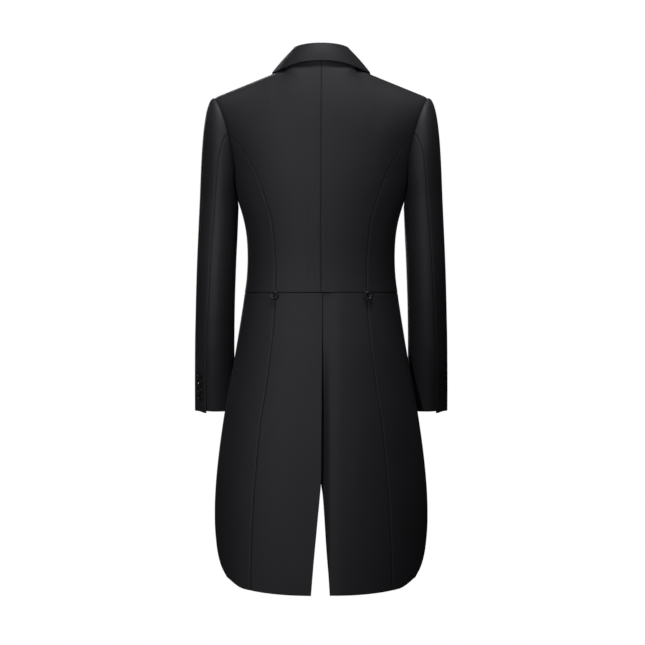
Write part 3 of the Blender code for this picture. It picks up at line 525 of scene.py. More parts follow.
def armhole_valley(far):
    """How far the cloth sinks on both sides of the armhole, by its distance from the seam."""
    return -ARMHOLE_DIP * np.exp(-((far / ARMHOLE_DIP_REACH) ** 2))


def drawn_in(grid, amounts):
    """The grid with its left, right, top and bottom edges moved inward, and nearby points a little less."""
    along, down = differences(grid)
    moved = np.zeros_like(grid)
    sides = (
        square(grid[:, 1] - grid[:, 0], down[:, 0])[:, None],
        square(grid[:, -2] - grid[:, -1], down[:, -1])[:, None],
        square(grid[1] - grid[0], along[0])[None],
        square(grid[-2] - grid[-1], along[-1])[None],
    )
    for amount, far, inward in zip(amounts, far_from_edges(grid), sides):
        share = np.clip(1 - far / (abs(amount) * DRAWN_REACH), 0, 1)[..., None]
        moved += share * (inward * amount)
    return grid + moved


def outward(grid):
    """Unit directions away from the cloth at its border, and 0 inside it."""
    along, down = differences(grid)
    out = np.zeros_like(grid)
    out[0] -= square(down[0], along[0])
    out[-1] += square(down[-1], along[-1])
    out[:, 0] -= square(along[:, 0], down[:, 0])
    out[:, -1] += square(along[:, -1], down[:, -1])
    return unit(out)


def cloth(name, outer, normals, looks, side=1, drawn=(EDGE_DRAWN_IN,) * 4, seams=""):
    """A thin closed wall with a rounded rim under a grid of outer points. side -1 is the mirror image.

    The looks are those of the outer face, the rim in a seam, whose darker look is a painted shade, and the
    inner face.
    """
    rows, columns = outer.shape[:2]
    outer = drawn_in(outer, drawn)
    out = outward(outer)
    inner = outer - normals * WALL
    loop = [(i, columns - 1) for i in range(rows - 1)]
    loop += [(rows - 1, j) for j in range(columns - 1, 0, -1)]
    loop += [(i, 0) for i in range(rows - 1, 0, -1)]
    loop += [(0, j) for j in range(columns - 1)]
    i, j = np.array(loop).T
    rim = []
    for turn in steps(0, math.pi, RIM_STEPS)[1:-1]:
        depth = WALL * (1 - math.cos(turn)) / 2
        rim.append(outer[i, j] + out[i, j] * RIM_REACH * math.sin(turn) - normals[i, j] * depth)
    count = rows * columns
    points = np.concatenate([outer.reshape(-1, 3), inner.reshape(-1, 3), *rim]) * (side, 1, 1)
    at = np.arange(count).reshape(rows, columns)
    quads = np.stack([at[:-1, :-1], at[:-1, 1:], at[1:, 1:], at[1:, :-1]], -1).reshape(-1, 4)
    rings = [at[i, j], *(2 * count + len(loop) * k + np.arange(len(loop)) for k in range(RIM_STEPS - 1))]
    rings.append(at[i, j] + count)
    border = []
    for one, other in zip(rings, rings[1:]):
        border.append(np.stack([one, other, np.roll(other, -1), np.roll(one, -1)], -1))
    faces = np.concatenate([quads, quads[:, ::-1] + count, *border])
    corners = points[faces]
    volume = (np.cross(corners[:, 0] - corners[:, 2], corners[:, 1] - corners[:, 3]) * corners[:, 0]).sum()
    if volume < 0:
        faces = faces[:, ::-1]
    left, _, top, _ = far_from_edges(outer)
    flat = np.stack([left, -top], -1)
    flat = np.concatenate([flat.reshape(-1, 2), flat.reshape(-1, 2), *[flat[i, j]] * (RIM_STEPS - 1)])
    kinds = np.zeros(len(faces), int)
    kinds[len(quads) : 2 * len(quads)] = len(looks) - 1
    # Rim faces along the sewn edges take the second look: a painted shade in the seam's groove
    sewn = np.repeat([letter in seams for letter in "rblt"], [rows - 1, columns - 1, rows - 1, columns - 1])
    kinds[2 * len(quads) :] = np.tile(sewn.astype(int), RIM_STEPS)
    item = mesh_object(name, points, faces, flat, looks, kinds)
    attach(item, "root")
    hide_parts(name.replace("cloth_", ""))
    return item


def mesh_object(name, points, faces, flat, looks, kinds):
    """An object from points, faces, flat coordinates of the points and the look that each face takes."""
    mesh = bpy.data.meshes.new(name)
    mesh.from_pydata(np.asarray(points).tolist(), [], [[int(k) for k in face] for face in faces])
    loops = np.empty(len(mesh.loops), int)
    mesh.loops.foreach_get("vertex_index", loops)
    mesh.uv_layers.new(name="Cut").uv.foreach_set("vector", flat[loops].astype(np.float32).ravel())
    for look in looks:
        mesh.materials.append(look)
    mesh.polygons.foreach_set("material_index", kinds)
    mesh.shade_smooth()
    item = bpy.data.objects.new(name, mesh)
    bpy.context.scene.collection.objects.link(item)
    return item


# Looks

WAVE_SCALE = 0.31416
SHADE_STOPS = (0.3, 0.7)
WOOL_ROUGHNESS = 0.66
WOOL_DARK = (0.0130, 0.0128, 0.0150)
WOOL_LIGHT = (0.0175, 0.0172, 0.0205)
WOOL_GLOSS = (0.95, 0.94, 1.0)
TWILL_ACROSS = 0.0011
TWILL_UP = 0.0016
TWILL_DEPTH = 0.00006
NAP_SCALE = (1400, 500, 1)
NAP_DETAIL = 3.0
DYE_SCALE = 9.0
DYE_DETAIL = 2.0
DYE_SHARE = 0.7
SLUB_SCALE = (60, 900, 1)
SLUB_DETAIL = 2.0
RIB_DEPTH = 0.00004
SATINS = table(
    "name dark light roughness rib",
    ("black_lining", (0.008, 0.008, 0.009), (0.014, 0.014, 0.016), 0.38, 0.0006),
    ("black_silk", (0.007, 0.007, 0.008), (0.013, 0.013, 0.015), 0.30, 0.0009),
    ("black_cover", (0.006, 0.006, 0.007), (0.012, 0.012, 0.014), 0.36, 0.0006),
)

# The wool's turned edge in a seam, darkened as a painted shade; polished horn; sewing thread
HORN_SHINE = {"Roughness": 0.28, "Coat Weight": 0.1, "Coat Roughness": 0.12}
SEAM_SHINE = {"Roughness": 0.9, "Specular IOR Level": 0.06}
GRAINED = table(
    "name dark light grain detail depth shine",
    ("black_wool_seam", (0.0025, 0.0025, 0.003), (0.005, 0.005, 0.006), 900.0, 2.0, 0.00005, SEAM_SHINE),
    ("black_horn", (0.004, 0.004, 0.0045), (0.012, 0.012, 0.013), 260.0, 4.0, 0.00002, HORN_SHINE),
    ("black_thread", (0.006, 0.006, 0.007), (0.016, 0.016, 0.018), 1800.0, 2.0, 0.00005, {"Roughness": 0.6}),
)


def set_up(tree, item, inputs):
    """Gives inputs of a node their values, or links them to outputs of other nodes."""
    for key, value in inputs.items():
        if isinstance(value, bpy.types.NodeSocket):
            tree.links.new(value, item.inputs[key])
        else:
            item.inputs[key].default_value = value


def node(tree, kind, inputs=None, **settings):
    item = tree.nodes.new("ShaderNode" + kind)
    for key, value in settings.items():
        setattr(item, key, value)
    set_up(tree, item, inputs or {})
    return item


def new_look(name):
    look = bpy.data.materials.new(name)
    look.use_nodes = True
    return look, look.node_tree


def finished(look, inputs):
    """The look, with the inputs of its shader set up."""
    set_up(look.node_tree, look.node_tree.nodes["Principled BSDF"], inputs)
    return look


def scaled_cut(tree, scale):
    """The cloth's own flat coordinates in metres, multiplied by a scale in each direction."""
    place = node(tree, "UVMap", uv_map="Cut").outputs["UV"]
    return node(tree, "Mapping", {"Vector": place, "Scale": scale}).outputs["Vector"]


def band(tree, vector, direction):
    """Soft lines, one for each unit of the vector."""
    inputs = {"Vector": vector, "Scale": WAVE_SCALE, "Distortion": 0.0}
    wave = node(tree, "TexWave", inputs, bands_direction=direction, wave_profile="SIN")
    return wave.outputs["Fac"]


def noise(tree, scale, detail, vector=None):
    vector = vector or node(tree, "TexCoord").outputs["Object"]
    return node(tree, "TexNoise", {"Vector": vector, "Scale": scale, "Detail": detail}).outputs["Fac"]


def shades(tree, factor, low, high):
    """A colour between two."""
    ramp = node(tree, "ValToRGB", {"Fac": factor})
    for stop, position, colour in zip(ramp.color_ramp.elements, SHADE_STOPS, (low, high)):
        stop.color = (*colour, 1)
        stop.position = position
    return ramp.outputs["Color"]


def maths(tree, kind, one, other):
    return node(tree, "Math", {0: one, 1: other}, operation=kind).outputs["Value"]


def raised(tree, height, depth):
    return node(tree, "Bump", {"Height": height, "Distance": depth, "Strength": 1.0}).outputs["Normal"]


def wool_look():
    """Fine worsted: steep twill lines, a little nap and slightly uneven dye."""
    look, tree = new_look("black_wool")
    twill = band(tree, scaled_cut(tree, (1 / TWILL_ACROSS, 1 / TWILL_UP, 1)), "DIAGONAL")
    nap = noise(tree, 1.0, NAP_DETAIL, scaled_cut(tree, NAP_SCALE))
    dye = noise(tree, DYE_SCALE, DYE_DETAIL)
    shares = maths(tree, "MULTIPLY", dye, DYE_SHARE), maths(tree, "MULTIPLY", nap, 1 - DYE_SHARE)
    return finished(look, {
        "Roughness": WOOL_ROUGHNESS,
        "Specular IOR Level": 0.5,
        "Specular Tint": (*WOOL_GLOSS, 1),
        "Sheen Weight": 0.012,
        "Sheen Roughness": 0.45,
        "Sheen Tint": (0.75, 0.78, 0.9, 1),
        "Base Color": shades(tree, maths(tree, "ADD", *shares), WOOL_DARK, WOOL_LIGHT),
        "Normal": raised(tree, maths(tree, "ADD", twill, nap), TWILL_DEPTH),
    })


def silk_look(row):
    """Close satin with faint ribs across it."""
    look, tree = new_look(row.name)
    lines = band(tree, scaled_cut(tree, (0, 1 / row.rib, 1)), "Y")
    slub = noise(tree, 1.0, SLUB_DETAIL, scaled_cut(tree, SLUB_SCALE))
    return finished(look, {
        "Roughness": row.roughness,
        "Sheen Weight": 0.05,
        "Base Color": shades(tree, slub, row.dark, row.light),
        "Normal": raised(tree, maths(tree, "ADD", lines, slub), RIB_DEPTH),
    })


def grained_look(row):
    """A fine grain that shows in the colour and in the relief."""
    look, tree = new_look(row.name)
    grain = noise(tree, row.grain, row.detail)
    colour = shades(tree, grain, row.dark, row.light)
    return finished(look, row.shine | {"Base Color": colour, "Normal": raised(tree, grain, row.depth)})


WOOL_LOOK = wool_look()
LINING_LOOK, SILK_LOOK, COVER_LOOK = (silk_look(row) for row in SATINS)
PAINTED_SEAM_SHADE_LOOK, HORN_LOOK, THREAD_LOOK = (grained_look(row) for row in GRAINED)
# Outer wool, a darker wool that paints shade in the seams, and the lining inside
CLOTH_LOOKS = WOOL_LOOK, PAINTED_SEAM_SHADE_LOOK, LINING_LOOK

# Cloth panels

# Size of the piece that each panel shows, laid flat
CUTS = table(
    "piece width length area",
    ("back", 0.275, 0.526, 0.0750),
    ("side_body", 0.149, 0.356, 0.0323),
    ("front", 0.193, 0.581, 0.0776),
    ("tail_side", 0.193, 0.620, 0.0814),
    ("tail_back", 0.139, 0.619, 0.0778),
    ("topsleeve", 0.314, 0.663, 0.1174),
    ("undersleeve", 0.243, 0.591, 0.0809),
    ("lapel", 0.136, 0.317, 0.0178),
    ("collar", 0.107, 0.635, 0.0481),
)


def armhole(turns):
    """(angle, height) pairs on the armhole. The turn is 0 at the shoulder tip and goes round by the rear."""
    z = mix(SHOULDER_TIP_Z, UNDERARM_Z, (1 - np.cos(turns)) / 2)
    rear = spots_at(reading(ARMHOLE, "rear_x", z), z)
    front = spots_at(reading(ARMHOLE, "front_x", z), z, front=True)
    return np.where((turns <= math.pi)[:, None], rear, front)


def back_seam(z):
    return spots_at(reading(BACK_SEAM, "x", z), z)


def front_edge(z):
    return spots_at(reading(FRONT_EDGE, "x", z), z, front=True)


ARMHOLE_LINE = body(armhole(steps(0, math.tau, ARMHOLE_LINE_STEPS)))

# Shares along each seam, which the pieces on both sides of it use
NECK_SHARES = crowded(NECK_COLUMNS, length=0.115, end=False)
SHOULDER_SHARES = crowded(SHOULDER_COLUMNS, length=0.157)
ARM_UPPER_SHARES = crowded(ARMHOLE_UPPER_ROWS, length=0.080)
ARM_HIND_SHARES = np.array([0, 0.1, 0.25, 0.5, 1])
ARM_LOWER_SHARES = crowded(SIDE_COLUMNS, length=0.140)
ARM_FORE_SHARES = crowded(FORE_ROWS_BELOW, length=0.090)
ARM_FRONT_SHARES = crowded(FRONT_ARMHOLE_ROWS - FORE_ROWS_BELOW, length=0.150)
BACK_SEAM_SHARES = crowded(BODY_ROWS, length=0.340)
TAIL_FRONT_SHARES = crowded(TAIL_FRONT_COLUMNS, length=0.090)
TAIL_BACK_SHARES = crowded(TAIL_BACK_COLUMNS, length=0.100)
TAIL_SHARES = crowded(TAIL_ROWS, length=0.600, end=False)

TURNS_UPPER = SIDE_PANEL_TOP * ARM_UPPER_SHARES
TURNS_HIND = mix(SIDE_PANEL_TOP, HIND_SEAM_TOP, ARM_HIND_SHARES)
TURNS_LOWER = mix(HIND_SEAM_TOP, math.pi, ARM_LOWER_SHARES)
TURNS_FORE = mix(math.pi, FORE_SEAM_TOP, ARM_FORE_SHARES)
TURNS_FRONT = mix(FORE_SEAM_TOP, math.tau, ARM_FRONT_SHARES)

# Soft creases on the body: middle, tilt from level, reach along and across it, and height out from the cloth
CREASE_PAST_MIDDLE = 0.02
BODY_CREASES = table(
    "side x z degrees reach width height at_front",
    (1, 0.100, -0.120, 70, 0.060, 0.016, 0.0006, False),
    (1, 0.128, -0.290, 62, 0.055, 0.010, -0.0006, False),
    (1, 0.112, -0.430, 12, 0.035, 0.007, 0.0005, False),
    (1, 0.085, -0.462, 5, 0.028, 0.006, -0.0004, False),
    (1, 0.104, -0.545, 84, 0.050, 0.009, 0.0005, False),
    (1, 0.060, -0.760, 88, 0.120, 0.016, -0.0007, False),
    (-1, 0.108, -0.145, 65, 0.050, 0.014, -0.0006, False),
    (-1, 0.122, -0.270, 57, 0.060, 0.011, -0.0007, False),
    (-1, 0.110, -0.395, 16, 0.040, 0.008, -0.0004, False),
    (-1, 0.105, -0.455, 8, 0.030, 0.006, 0.0005, False),
    (-1, 0.118, -0.560, 82, 0.060, 0.010, -0.0005, False),
    (-1, 0.075, -0.820, 87, 0.130, 0.018, 0.0007, False),
    (1, 0.125, -0.150, 62, 0.050, 0.014, 0.0007, True),
    (1, 0.150, -0.330, 35, 0.050, 0.011, -0.0008, True),
    (1, 0.120, -0.420, 18, 0.035, 0.008, 0.0006, True),
    (-1, 0.130, -0.175, 66, 0.045, 0.013, -0.0006, True),
    (-1, 0.148, -0.360, 28, 0.045, 0.010, -0.0008, True),
    (-1, 0.112, -0.405, 10, 0.040, 0.007, 0.0005, True),
)


def creased(points, side):
    """How far soft creases move body points out."""
    moved = np.zeros(points.shape[:2])
    for row in BODY_CREASES:
        if row.side != side:
            continue
        far = points - body(spots_at(row.x, row.z, row.at_front))
        here = points[..., 1] * (-1 if row.at_front else 1) > -CREASE_PAST_MIDDLE
        across = np.hypot(far[..., 0], far[..., 1]) * np.copysign(1, far[..., 0])
        moved += here * mound(row, across, far[..., 2])
    return moved


def mound(row, across, up):
    """Height of a long soft mound that leans from level, or of a trough where the row's height is below 0."""
    turn = math.radians(row.degrees)
    along = across * math.cos(turn) + up * math.sin(turn)
    away = up * math.cos(turn) - across * math.sin(turn)
    return row.height * np.exp(-((along / row.reach) ** 2) - (away / row.width) ** 2)


def panel(name, spots, side, seams, shift=None):
    """A body panel from its grid of (angle, height) pairs."""
    points, normals = body(spots), body_normal(spots)
    far = np.linalg.norm(points[..., None, :] - ARMHOLE_LINE, axis=-1).min(-1)
    moved = pressed(points, seams) + creased(points, side) + armhole_valley(far)
    outer = points + normals * moved[..., None]
    if shift:
        outer = outer + shift(points, normals)
    level = eased(np.abs(points[..., 2] - WAIST_Z) / WAIST_LEVEL_REACH)
    normals = unit(np.stack([normals[..., 0], normals[..., 1], normals[..., 2] * level], -1))
    item = cloth("cloth_" + name, outer, normals, CLOTH_LOOKS, side, seams=seams)
    # A painted line of shade along the waist seam, in the darker seam look, though not on the fronts
    for face in item.data.polygons:
        in_painted_waist_shade = abs(face.center.z - WAIST_Z) < WAIST_SHADE and not name.startswith("front")
        if in_painted_waist_shade and face.material_index == 0:
            face.material_index = 1


def make_back(side_name, side):
    x = NECK_HALF_WIDTH * np.sin(NECK_SHARES * math.pi / 2)
    neck = spots_at(x, shoulder_line(x)[1])
    right = np.concatenate([armhole(TURNS_UPPER)[:-1], back_seam(back_seam_heights())])
    top = np.concatenate([neck[:-1], shoulder_seam(False)])
    top[-1] = right[0]
    share = (right[0, 1] - right[:, 1]) / (right[0, 1] - WAIST_Z)
    left = np.stack([0 * share, mix(NAPE_Z, WAIST_Z, share)], -1)
    last = reading(BACK_SEAM, "x", WAIST_Z)
    bottom = spots_at(last * top[:, 0] / top[-1, 0], WAIST_Z)
    u = np.concatenate([NECK_SHARES[:-1] * NECK_COLUMNS, NECK_COLUMNS + SHOULDER_SHARES * SHOULDER_COLUMNS])
    panel("back_" + side_name, patch(top, bottom, left, right, u / u[-1]), side, "lrtb")


def back_seam_heights():
    return mix(armhole(np.array([SIDE_PANEL_TOP]))[0, 1], WAIST_Z, BACK_SEAM_SHARES)


def shoulder_seam(front):
    x = mix(NECK_HALF_WIDTH, SHOULDER_TIP_X, SHOULDER_SHARES)
    return spots_at(x, shoulder_line(x)[1], front)


def on_waist(angles):
    return np.stack([angles, 0 * angles + WAIST_Z], -1)


def side_bottom():
    shares = np.concatenate([ARM_HIND_SHARES[:-1], 1 + ARM_LOWER_SHARES * SIDE_COLUMNS]) / (SIDE_COLUMNS + 1)
    start = angle_at(reading(BACK_SEAM, "x", WAIST_Z), WAIST_Z)
    return on_waist(mix(start, SIDE_SEAM_ANGLE, shares)), shares


def side_seam():
    ends = np.array([[math.pi / 2, UNDERARM_Z], [SIDE_SEAM_ANGLE, WAIST_Z]])
    return straight(*ends, BACK_SEAM_SHARES)


def make_side_body(side_name, side):
    left = back_seam(back_seam_heights())
    top = np.concatenate([armhole(TURNS_HIND)[:-1], armhole(TURNS_LOWER)])
    top[0] = left[0]
    right = side_seam()
    right[0] = top[-1]
    bottom, shares = side_bottom()
    panel("side_body_" + side_name, patch(top, bottom, left, right, shares), side, "lrtb")


def tail_top_front():
    return on_waist(mix(SIDE_SEAM_ANGLE, TAIL_START_ANGLE, TAIL_FRONT_SHARES))


def make_front(side_name, side):
    turns = np.concatenate([TURNS_FORE, TURNS_FRONT[1:]])[::-1]
    right = np.concatenate([armhole(turns)[:-1], side_seam()])
    right[0] = armhole(np.array([math.tau]))[0]
    top = shoulder_seam(True)
    top[-1] = right[0]
    share = (right[0, 1] - right[:, 1]) / (right[0, 1] - WAIST_Z)
    left = front_edge(mix(NECK_POINT_Z, FRONT_POINT_Z, share))
    left[0] = top[0]
    under = tail_top_front()[::-1]
    t = steps(0, 1, len(top) - len(under))
    slant = [mix(left[-1, 0], TAIL_START_ANGLE, t), mix(FRONT_POINT_Z, WAIST_Z, t**SLANT_BOW)]
    bottom = np.concatenate([np.stack(slant, -1)[:-1], under])
    panel("front_" + side_name, patch(top, bottom, left, right), side, "rt")


def hem(x):
    return spots_at(x, reading(HEM, "z", x, key="x"))


def tail_heights(last):
    return mix(last, WAIST_Z, (1 - TAIL_SHARES) ** TAIL_ROW_CROWDING)


def tail_seam():
    last = reading(HEM, "z", reading(BACK_SEAM, "x", HEM[3].z), key="x")
    return back_seam(tail_heights(last))


def make_tail_side(side_name, side):
    left = tail_seam()
    top, shares = side_bottom()
    top = np.concatenate([top, tail_top_front()[1:]])
    columns = SIDE_COLUMNS + 1
    shares = np.concatenate([shares * columns, columns + TAIL_FRONT_SHARES[1:] * TAIL_FRONT_COLUMNS])
    shares = shares / shares[-1]
    z = tail_heights(TAIL_CORNER[-1].z)
    edge, corner = np.radians(reading(TAIL_EDGE, "degrees", z)), angle_at(reading(TAIL_CORNER, "x", z), z)
    right = np.stack([np.where(z > TAIL_EDGE[-1].z, edge, corner), z], -1)
    bottom = hem(mix(body(left[-1])[0], TAIL_CORNER[-1].x, shares))
    bottom[0], bottom[-1] = left[-1], right[-1]
    panel("tail_side_" + side_name, patch(top, bottom, left, right, shares), side, "lt")


def vent_lift(points, normals):
    """How far the upper tail stands off at its vent edge, which grows towards the hem."""
    edge = reading(VENT, "left_x", points[..., 2])
    near = 1 - np.clip((points[..., 0] - edge) / VENT_LIFT_REACH, 0, 1)
    lift = VENT_LIFT * eased((WAIST_Z - points[..., 2]) / VENT_LIFT_DROP) * near**2
    return normals * lift[..., None]


def vent_tuck(points, normals):
    """How the lower tail rolls in where the upper one laps over it, and its top runs up behind the back."""
    start, end = UNDERLAP_TURN
    share = eased((start - points[..., 0]) / (start - end))[..., None]
    near = (1 - eased((WAIST_Z - points[..., 2]) / WAIST_UNDER_REACH))[..., None]
    roll = eased((WAIST_Z - points[..., 2]) / VENT_ROLL_DROP) * eased(1 - points[..., 0] / VENT_ROLL_REACH)
    tucked = (WALL + LAYER_GAP) * share + VENT_ROLL * roll[..., None]
    return np.array([0, 0, WAIST_UNDER]) * share * near - normals * tucked


def make_tail_back(side_name, side):
    right = tail_seam()
    column, shift = ("left_x", vent_lift) if side > 0 else ("right_x", vent_tuck)
    z = tail_heights(HEM[0].z)
    left = spots_at(reading(VENT, column, z), z)
    ends = reading(VENT, column, WAIST_Z), reading(BACK_SEAM, "x", WAIST_Z)
    top = spots_at(mix(*ends, TAIL_BACK_SHARES), WAIST_Z)
    bottom = hem(mix(body(left[-1])[0], body(right[-1])[0], TAIL_BACK_SHARES))
    bottom[0], bottom[-1], top[-1] = left[-1], right[-1], right[0]
    panel("tail_back_" + side_name, patch(top, bottom, left, right, TAIL_BACK_SHARES), side, "rt", shift)


# Sleeves

HEAD_SHARES = crowded(HEAD_ROWS, length=0.150, end=False)
SLEEVE_SHARES = crowded(SLEEVE_ROWS, length=0.430, start=False)

# Soft creases on the sleeves: middle as a height and a turn, tilt, reach along and across, and height
SLEEVE_CREASES = table(
    "side z turn degrees reach width height",
    (1, -0.200, 60, 70, 0.060, 0.014, -0.0005),
    (1, -0.300, 112, 62, 0.060, 0.012, -0.0006),
    (1, -0.345, 250, 18, 0.035, 0.008, -0.0009),
    (1, -0.385, 262, -6, 0.040, 0.009, 0.0008),
    (1, -0.430, 240, -22, 0.030, 0.007, -0.0008),
    (1, -0.520, 95, 20, 0.035, 0.010, 0.0004),
    (-1, -0.290, 104, 58, 0.055, 0.013, -0.0006),
    (-1, -0.360, 246, 14, 0.032, 0.009, -0.0009),
    (-1, -0.402, 256, -10, 0.042, 0.008, 0.0008),
    (-1, -0.450, 236, -26, 0.028, 0.008, -0.0008),
    (-1, -0.500, 84, 24, 0.040, 0.010, 0.0005),
    (-1, -0.620, 120, 12, 0.030, 0.009, -0.0005),
)


def clear_of_body(points):
    """The points, moved out where they would come too near the body beside the sleeve."""
    z = points[..., 2]
    middle = reading(RINGS, "middle_y", z)
    depth = np.where(points[..., 1] > middle, reading(RINGS, "back", z), reading(RINGS, "front", z))
    share = np.minimum(1.0, np.abs(points[..., 1] - middle) / depth)
    body_x = reading(RINGS, "half_width", z) * (1 - share**RING_POWER) ** (1 / RING_POWER)
    near = (z > WAIST_Z) & (z < SLEEVE_CLEAR_TOP)
    points[..., 0] = np.where(near, np.maximum(points[..., 0], body_x + SLEEVE_CLEAR), points[..., 0])
    return points


def sleeve_ring(z, turn):
    """Points of the sleeve's rings. The turn is 0 at the outer side and goes round by the rear."""
    outer, inner = reading(SLEEVES, "outer_x", z), reading(SLEEVES, "inner_x", z)
    back = reading(SLEEVES, "half_depth", z) * np.sin(turn)
    lean = np.tan(np.radians(reading(SLEEVES, "lean", z)))
    x = (outer + inner) / 2 + (outer - inner) / 2 * np.cos(turn)
    return np.stack([x, reading(SLEEVES, "middle_y", z) + back, z - back * lean], -1)


def sleeve_turn(top_turn, z):
    """Turns at a height of the lines that start at these turns of the armhole. The two seams swing round."""
    tops = (HIND_SEAM_TOP, math.pi, FORE_SEAM_TOP, HIND_SEAM_TOP + math.tau)
    hind, fore = (np.radians(reading(SLEEVES, name, z)) for name in ("hind", "fore"))
    ends = np.stack([hind, 0 * hind + math.pi, fore, hind + math.tau], -1)
    turn = np.where(top_turn >= HIND_SEAM_TOP - TINY, top_turn, top_turn + math.tau)
    k = np.clip(np.searchsorted(tops, turn, side="right") - 1, 0, 2)
    t = (turn - np.take(tops, k)) / (np.take(tops, k + 1) - np.take(tops, k))
    first, second = (np.take_along_axis(ends, at[..., None], -1)[..., 0] for at in (k, k + 1))
    return mix(first, second, t)


def sleeve_grid(turns):
    """Points of the sleeve from the armhole down to the cuff, a column for each turn."""
    spots = armhole(turns % math.tau)
    high = ((1 + np.cos(turns)) / 2)[:, None]
    start = body(spots) + body_normal(spots) * SLEEVE_UNDER_CLEAR * (1 - high)
    biceps = SLEEVES[0].z + 0 * turns
    lower = biceps - SLEEVE_STEP
    end = sleeve_ring(biceps, sleeve_turn(turns, biceps))
    below = sleeve_ring(lower, sleeve_turn(turns, lower))
    sideways, back = mix(-SLEEVE_UNDER_IN, 1, high), SLEEVE_HEAD_BACK * np.sin(turns)[:, None]
    out = np.concatenate([sideways, back, mix(-1, SLEEVE_HEAD_RISE, high)], -1)
    length = np.linalg.norm(end - start, axis=-1, keepdims=True)
    leave = unit(out) * mix(length, SLEEVE_HEAD_OUT, high)
    arrive = unit(below - end) * length
    rows = [start]
    for t in HEAD_SHARES[1:]:
        rows.append(clear_of_body(curve(start, end, leave, arrive, t)))
    for z in mix(SLEEVES[0].z, SLEEVES[-1].z, SLEEVE_SHARES[1:]):
        z = z + 0 * turns
        rows.append(clear_of_body(sleeve_ring(z, sleeve_turn(turns, z))))
    return np.stack(rows)


def sleeve_creased(grid, side):
    """How far soft creases move sleeve points out."""
    moved = np.zeros(grid.shape[:2])
    for row in SLEEVE_CREASES:
        if row.side != side:
            continue
        outer, inner, core_y = (reading(SLEEVES, name, row.z) for name in ("outer_x", "inner_x", "middle_y"))
        core_x = (outer + inner) / 2
        middle = sleeve_ring(row.z, math.radians(row.turn))
        angle = np.arctan2(grid[..., 1] - core_y, grid[..., 0] - core_x)
        own = math.atan2(middle[1] - core_y, middle[0] - core_x)
        around = (angle - own + math.pi) % math.tau - math.pi
        across = around * math.hypot(middle[0] - core_x, middle[1] - core_y)
        moved += mound(row, across, grid[..., 2] - middle[2])
    return moved


def cuff_vent(grid, name):
    """How the false cuff vent moves a sleeve: its upper edge up, and the under sleeve in beneath it."""
    over = name == "topsleeve"
    near = far_from_edges(grid)[1 if over else 0]
    low = eased((CUFF_VENT_TOP - grid[..., 2]) / CUFF_VENT_BLEND)
    share = low * (1 - eased(near / CUFF_VENT_REACH))
    if over:
        corner = eased((CUFF_CORNER_TOP - grid[..., 2]) / CUFF_CORNER_BLEND)
        drop = CUFF_CORNER_DROP * corner * (1 - eased(near / CUFF_CORNER_REACH))
        lift = grid_normals(grid) * (CUFF_VENT_LIFT * share)[..., None]
        return np.stack([0 * drop, 0 * drop, -drop], -1) - lift
    sideways = -differences(grid)[0] * (CUFF_VENT_LAP * share)[..., None]
    return sideways + grid_normals(grid) * (CUFF_VENT_TUCK * share)[..., None]


def make_sleeve(side_name, side):
    rear = math.tau + np.concatenate([TURNS_UPPER[1:], TURNS_HIND[1:]])
    top = np.concatenate([TURNS_FORE[-1:], TURNS_FRONT[1:], rear])
    under = np.concatenate([TURNS_LOWER, TURNS_FORE[1:]])
    for name, turns in (("topsleeve", top), ("undersleeve", under)):
        grid = sleeve_grid(turns)
        moved = pressed(grid, "lrt") + sleeve_creased(grid, side)
        far = far_from_edges(grid)[2]
        closed = SLEEVE_UNDER_CLEAR * (1 - np.cos(turns)) / 2 * np.exp(-((far / SLEEVE_CLOSE_REACH) ** 2))
        out = body_normal(armhole(turns % math.tau))
        sunk = out * (armhole_valley(far) - closed)[..., None]
        grid = grid - grid_normals(grid) * moved[..., None] + cuff_vent(grid, name) + sunk
        allowance = [grid[:1] - out * depth for depth in ARMHOLE_ALLOWANCE]
        grid = np.concatenate([*allowance, grid])
        drawn = EDGE_DRAWN_IN, EDGE_DRAWN_IN, SLEEVE_HEAD_UNDER, RIM_REACH
        item = cloth(f"cloth_{name}_{side_name}", grid, -grid_normals(grid), CLOTH_LOOKS, side, drawn, "lrt")


# Collar and lapels

STAND_SHARES = crowded(STAND_ROWS, length=0.040, end=False, fine=1)[:-1]
LEAF_SHARES = crowded(LEAF_COLUMNS, length=0.045, start=False)
STATION_SHARES = crowded(NECK_COLUMNS, length=0.115, start=False, end=False)
GORGE_SHARES = crowded(COLLAR_FRONT_STATIONS, length=0.070, start=False)
LAPEL_SHARES = crowded(LAPEL_STATIONS, length=0.310)


def roll_start(z):
    """The short stretch by which a lapel runs on past the front edge before it rolls back."""
    seam = front_edge(np.array([z]))[0]
    return unit(body(seam + (SMALL_TURN, 0)) - body(seam)) * ROLL_START


def straight(start, end, shares):
    """Points between two at these shares."""
    return mix(np.array(start), np.array(end), shares[:, None])


def folded_line(stand, tangent, leaf, edge, shares):
    """Middle line of a folded strip: up the stand, round the roll and down the leaf on the body."""
    over, normals = body(leaf), body_normal(leaf)
    foot, lift = over[0], normals[0]
    tangent = unit(tangent)
    near = body(mix(leaf[0], leaf[-1], FOOT_SHARE)) if edge is None else over[1]
    away = square(foot - near, tangent)
    normal = np.cross(tangent, away)
    normal = normal * math.copysign(1, normal.dot(lift))
    up = square(stand, tangent)
    out = np.cross(tangent, up)
    out = out * math.copysign(1, out.dot(normal - away))
    start = foot - normal * WALL / 2 + away * (FOLD_GAP - away.dot(out) * WALL / 2)
    top = start + stand
    line = [start + stand * t for t in STAND_SHARES]
    for turn in steps(0, math.pi, FOLD_STEPS):
        line.append(top + out * ROLL * (1 - math.cos(turn)) + up * ROLL * math.sin(turn))
    rolled = line[-1]
    for t, point, lifted in zip(shares[1:], over[1:], normals[1:]):
        if edge is not None:
            line.append(mix(rolled, edge, t) + out * LEAF_BOW * math.sin(math.pi * t))
        else:
            line.append(point + lifted * LEAF_HEIGHT + (rolled - foot - normal * LEAF_HEIGHT) * (1 - t))
    return np.array(line)


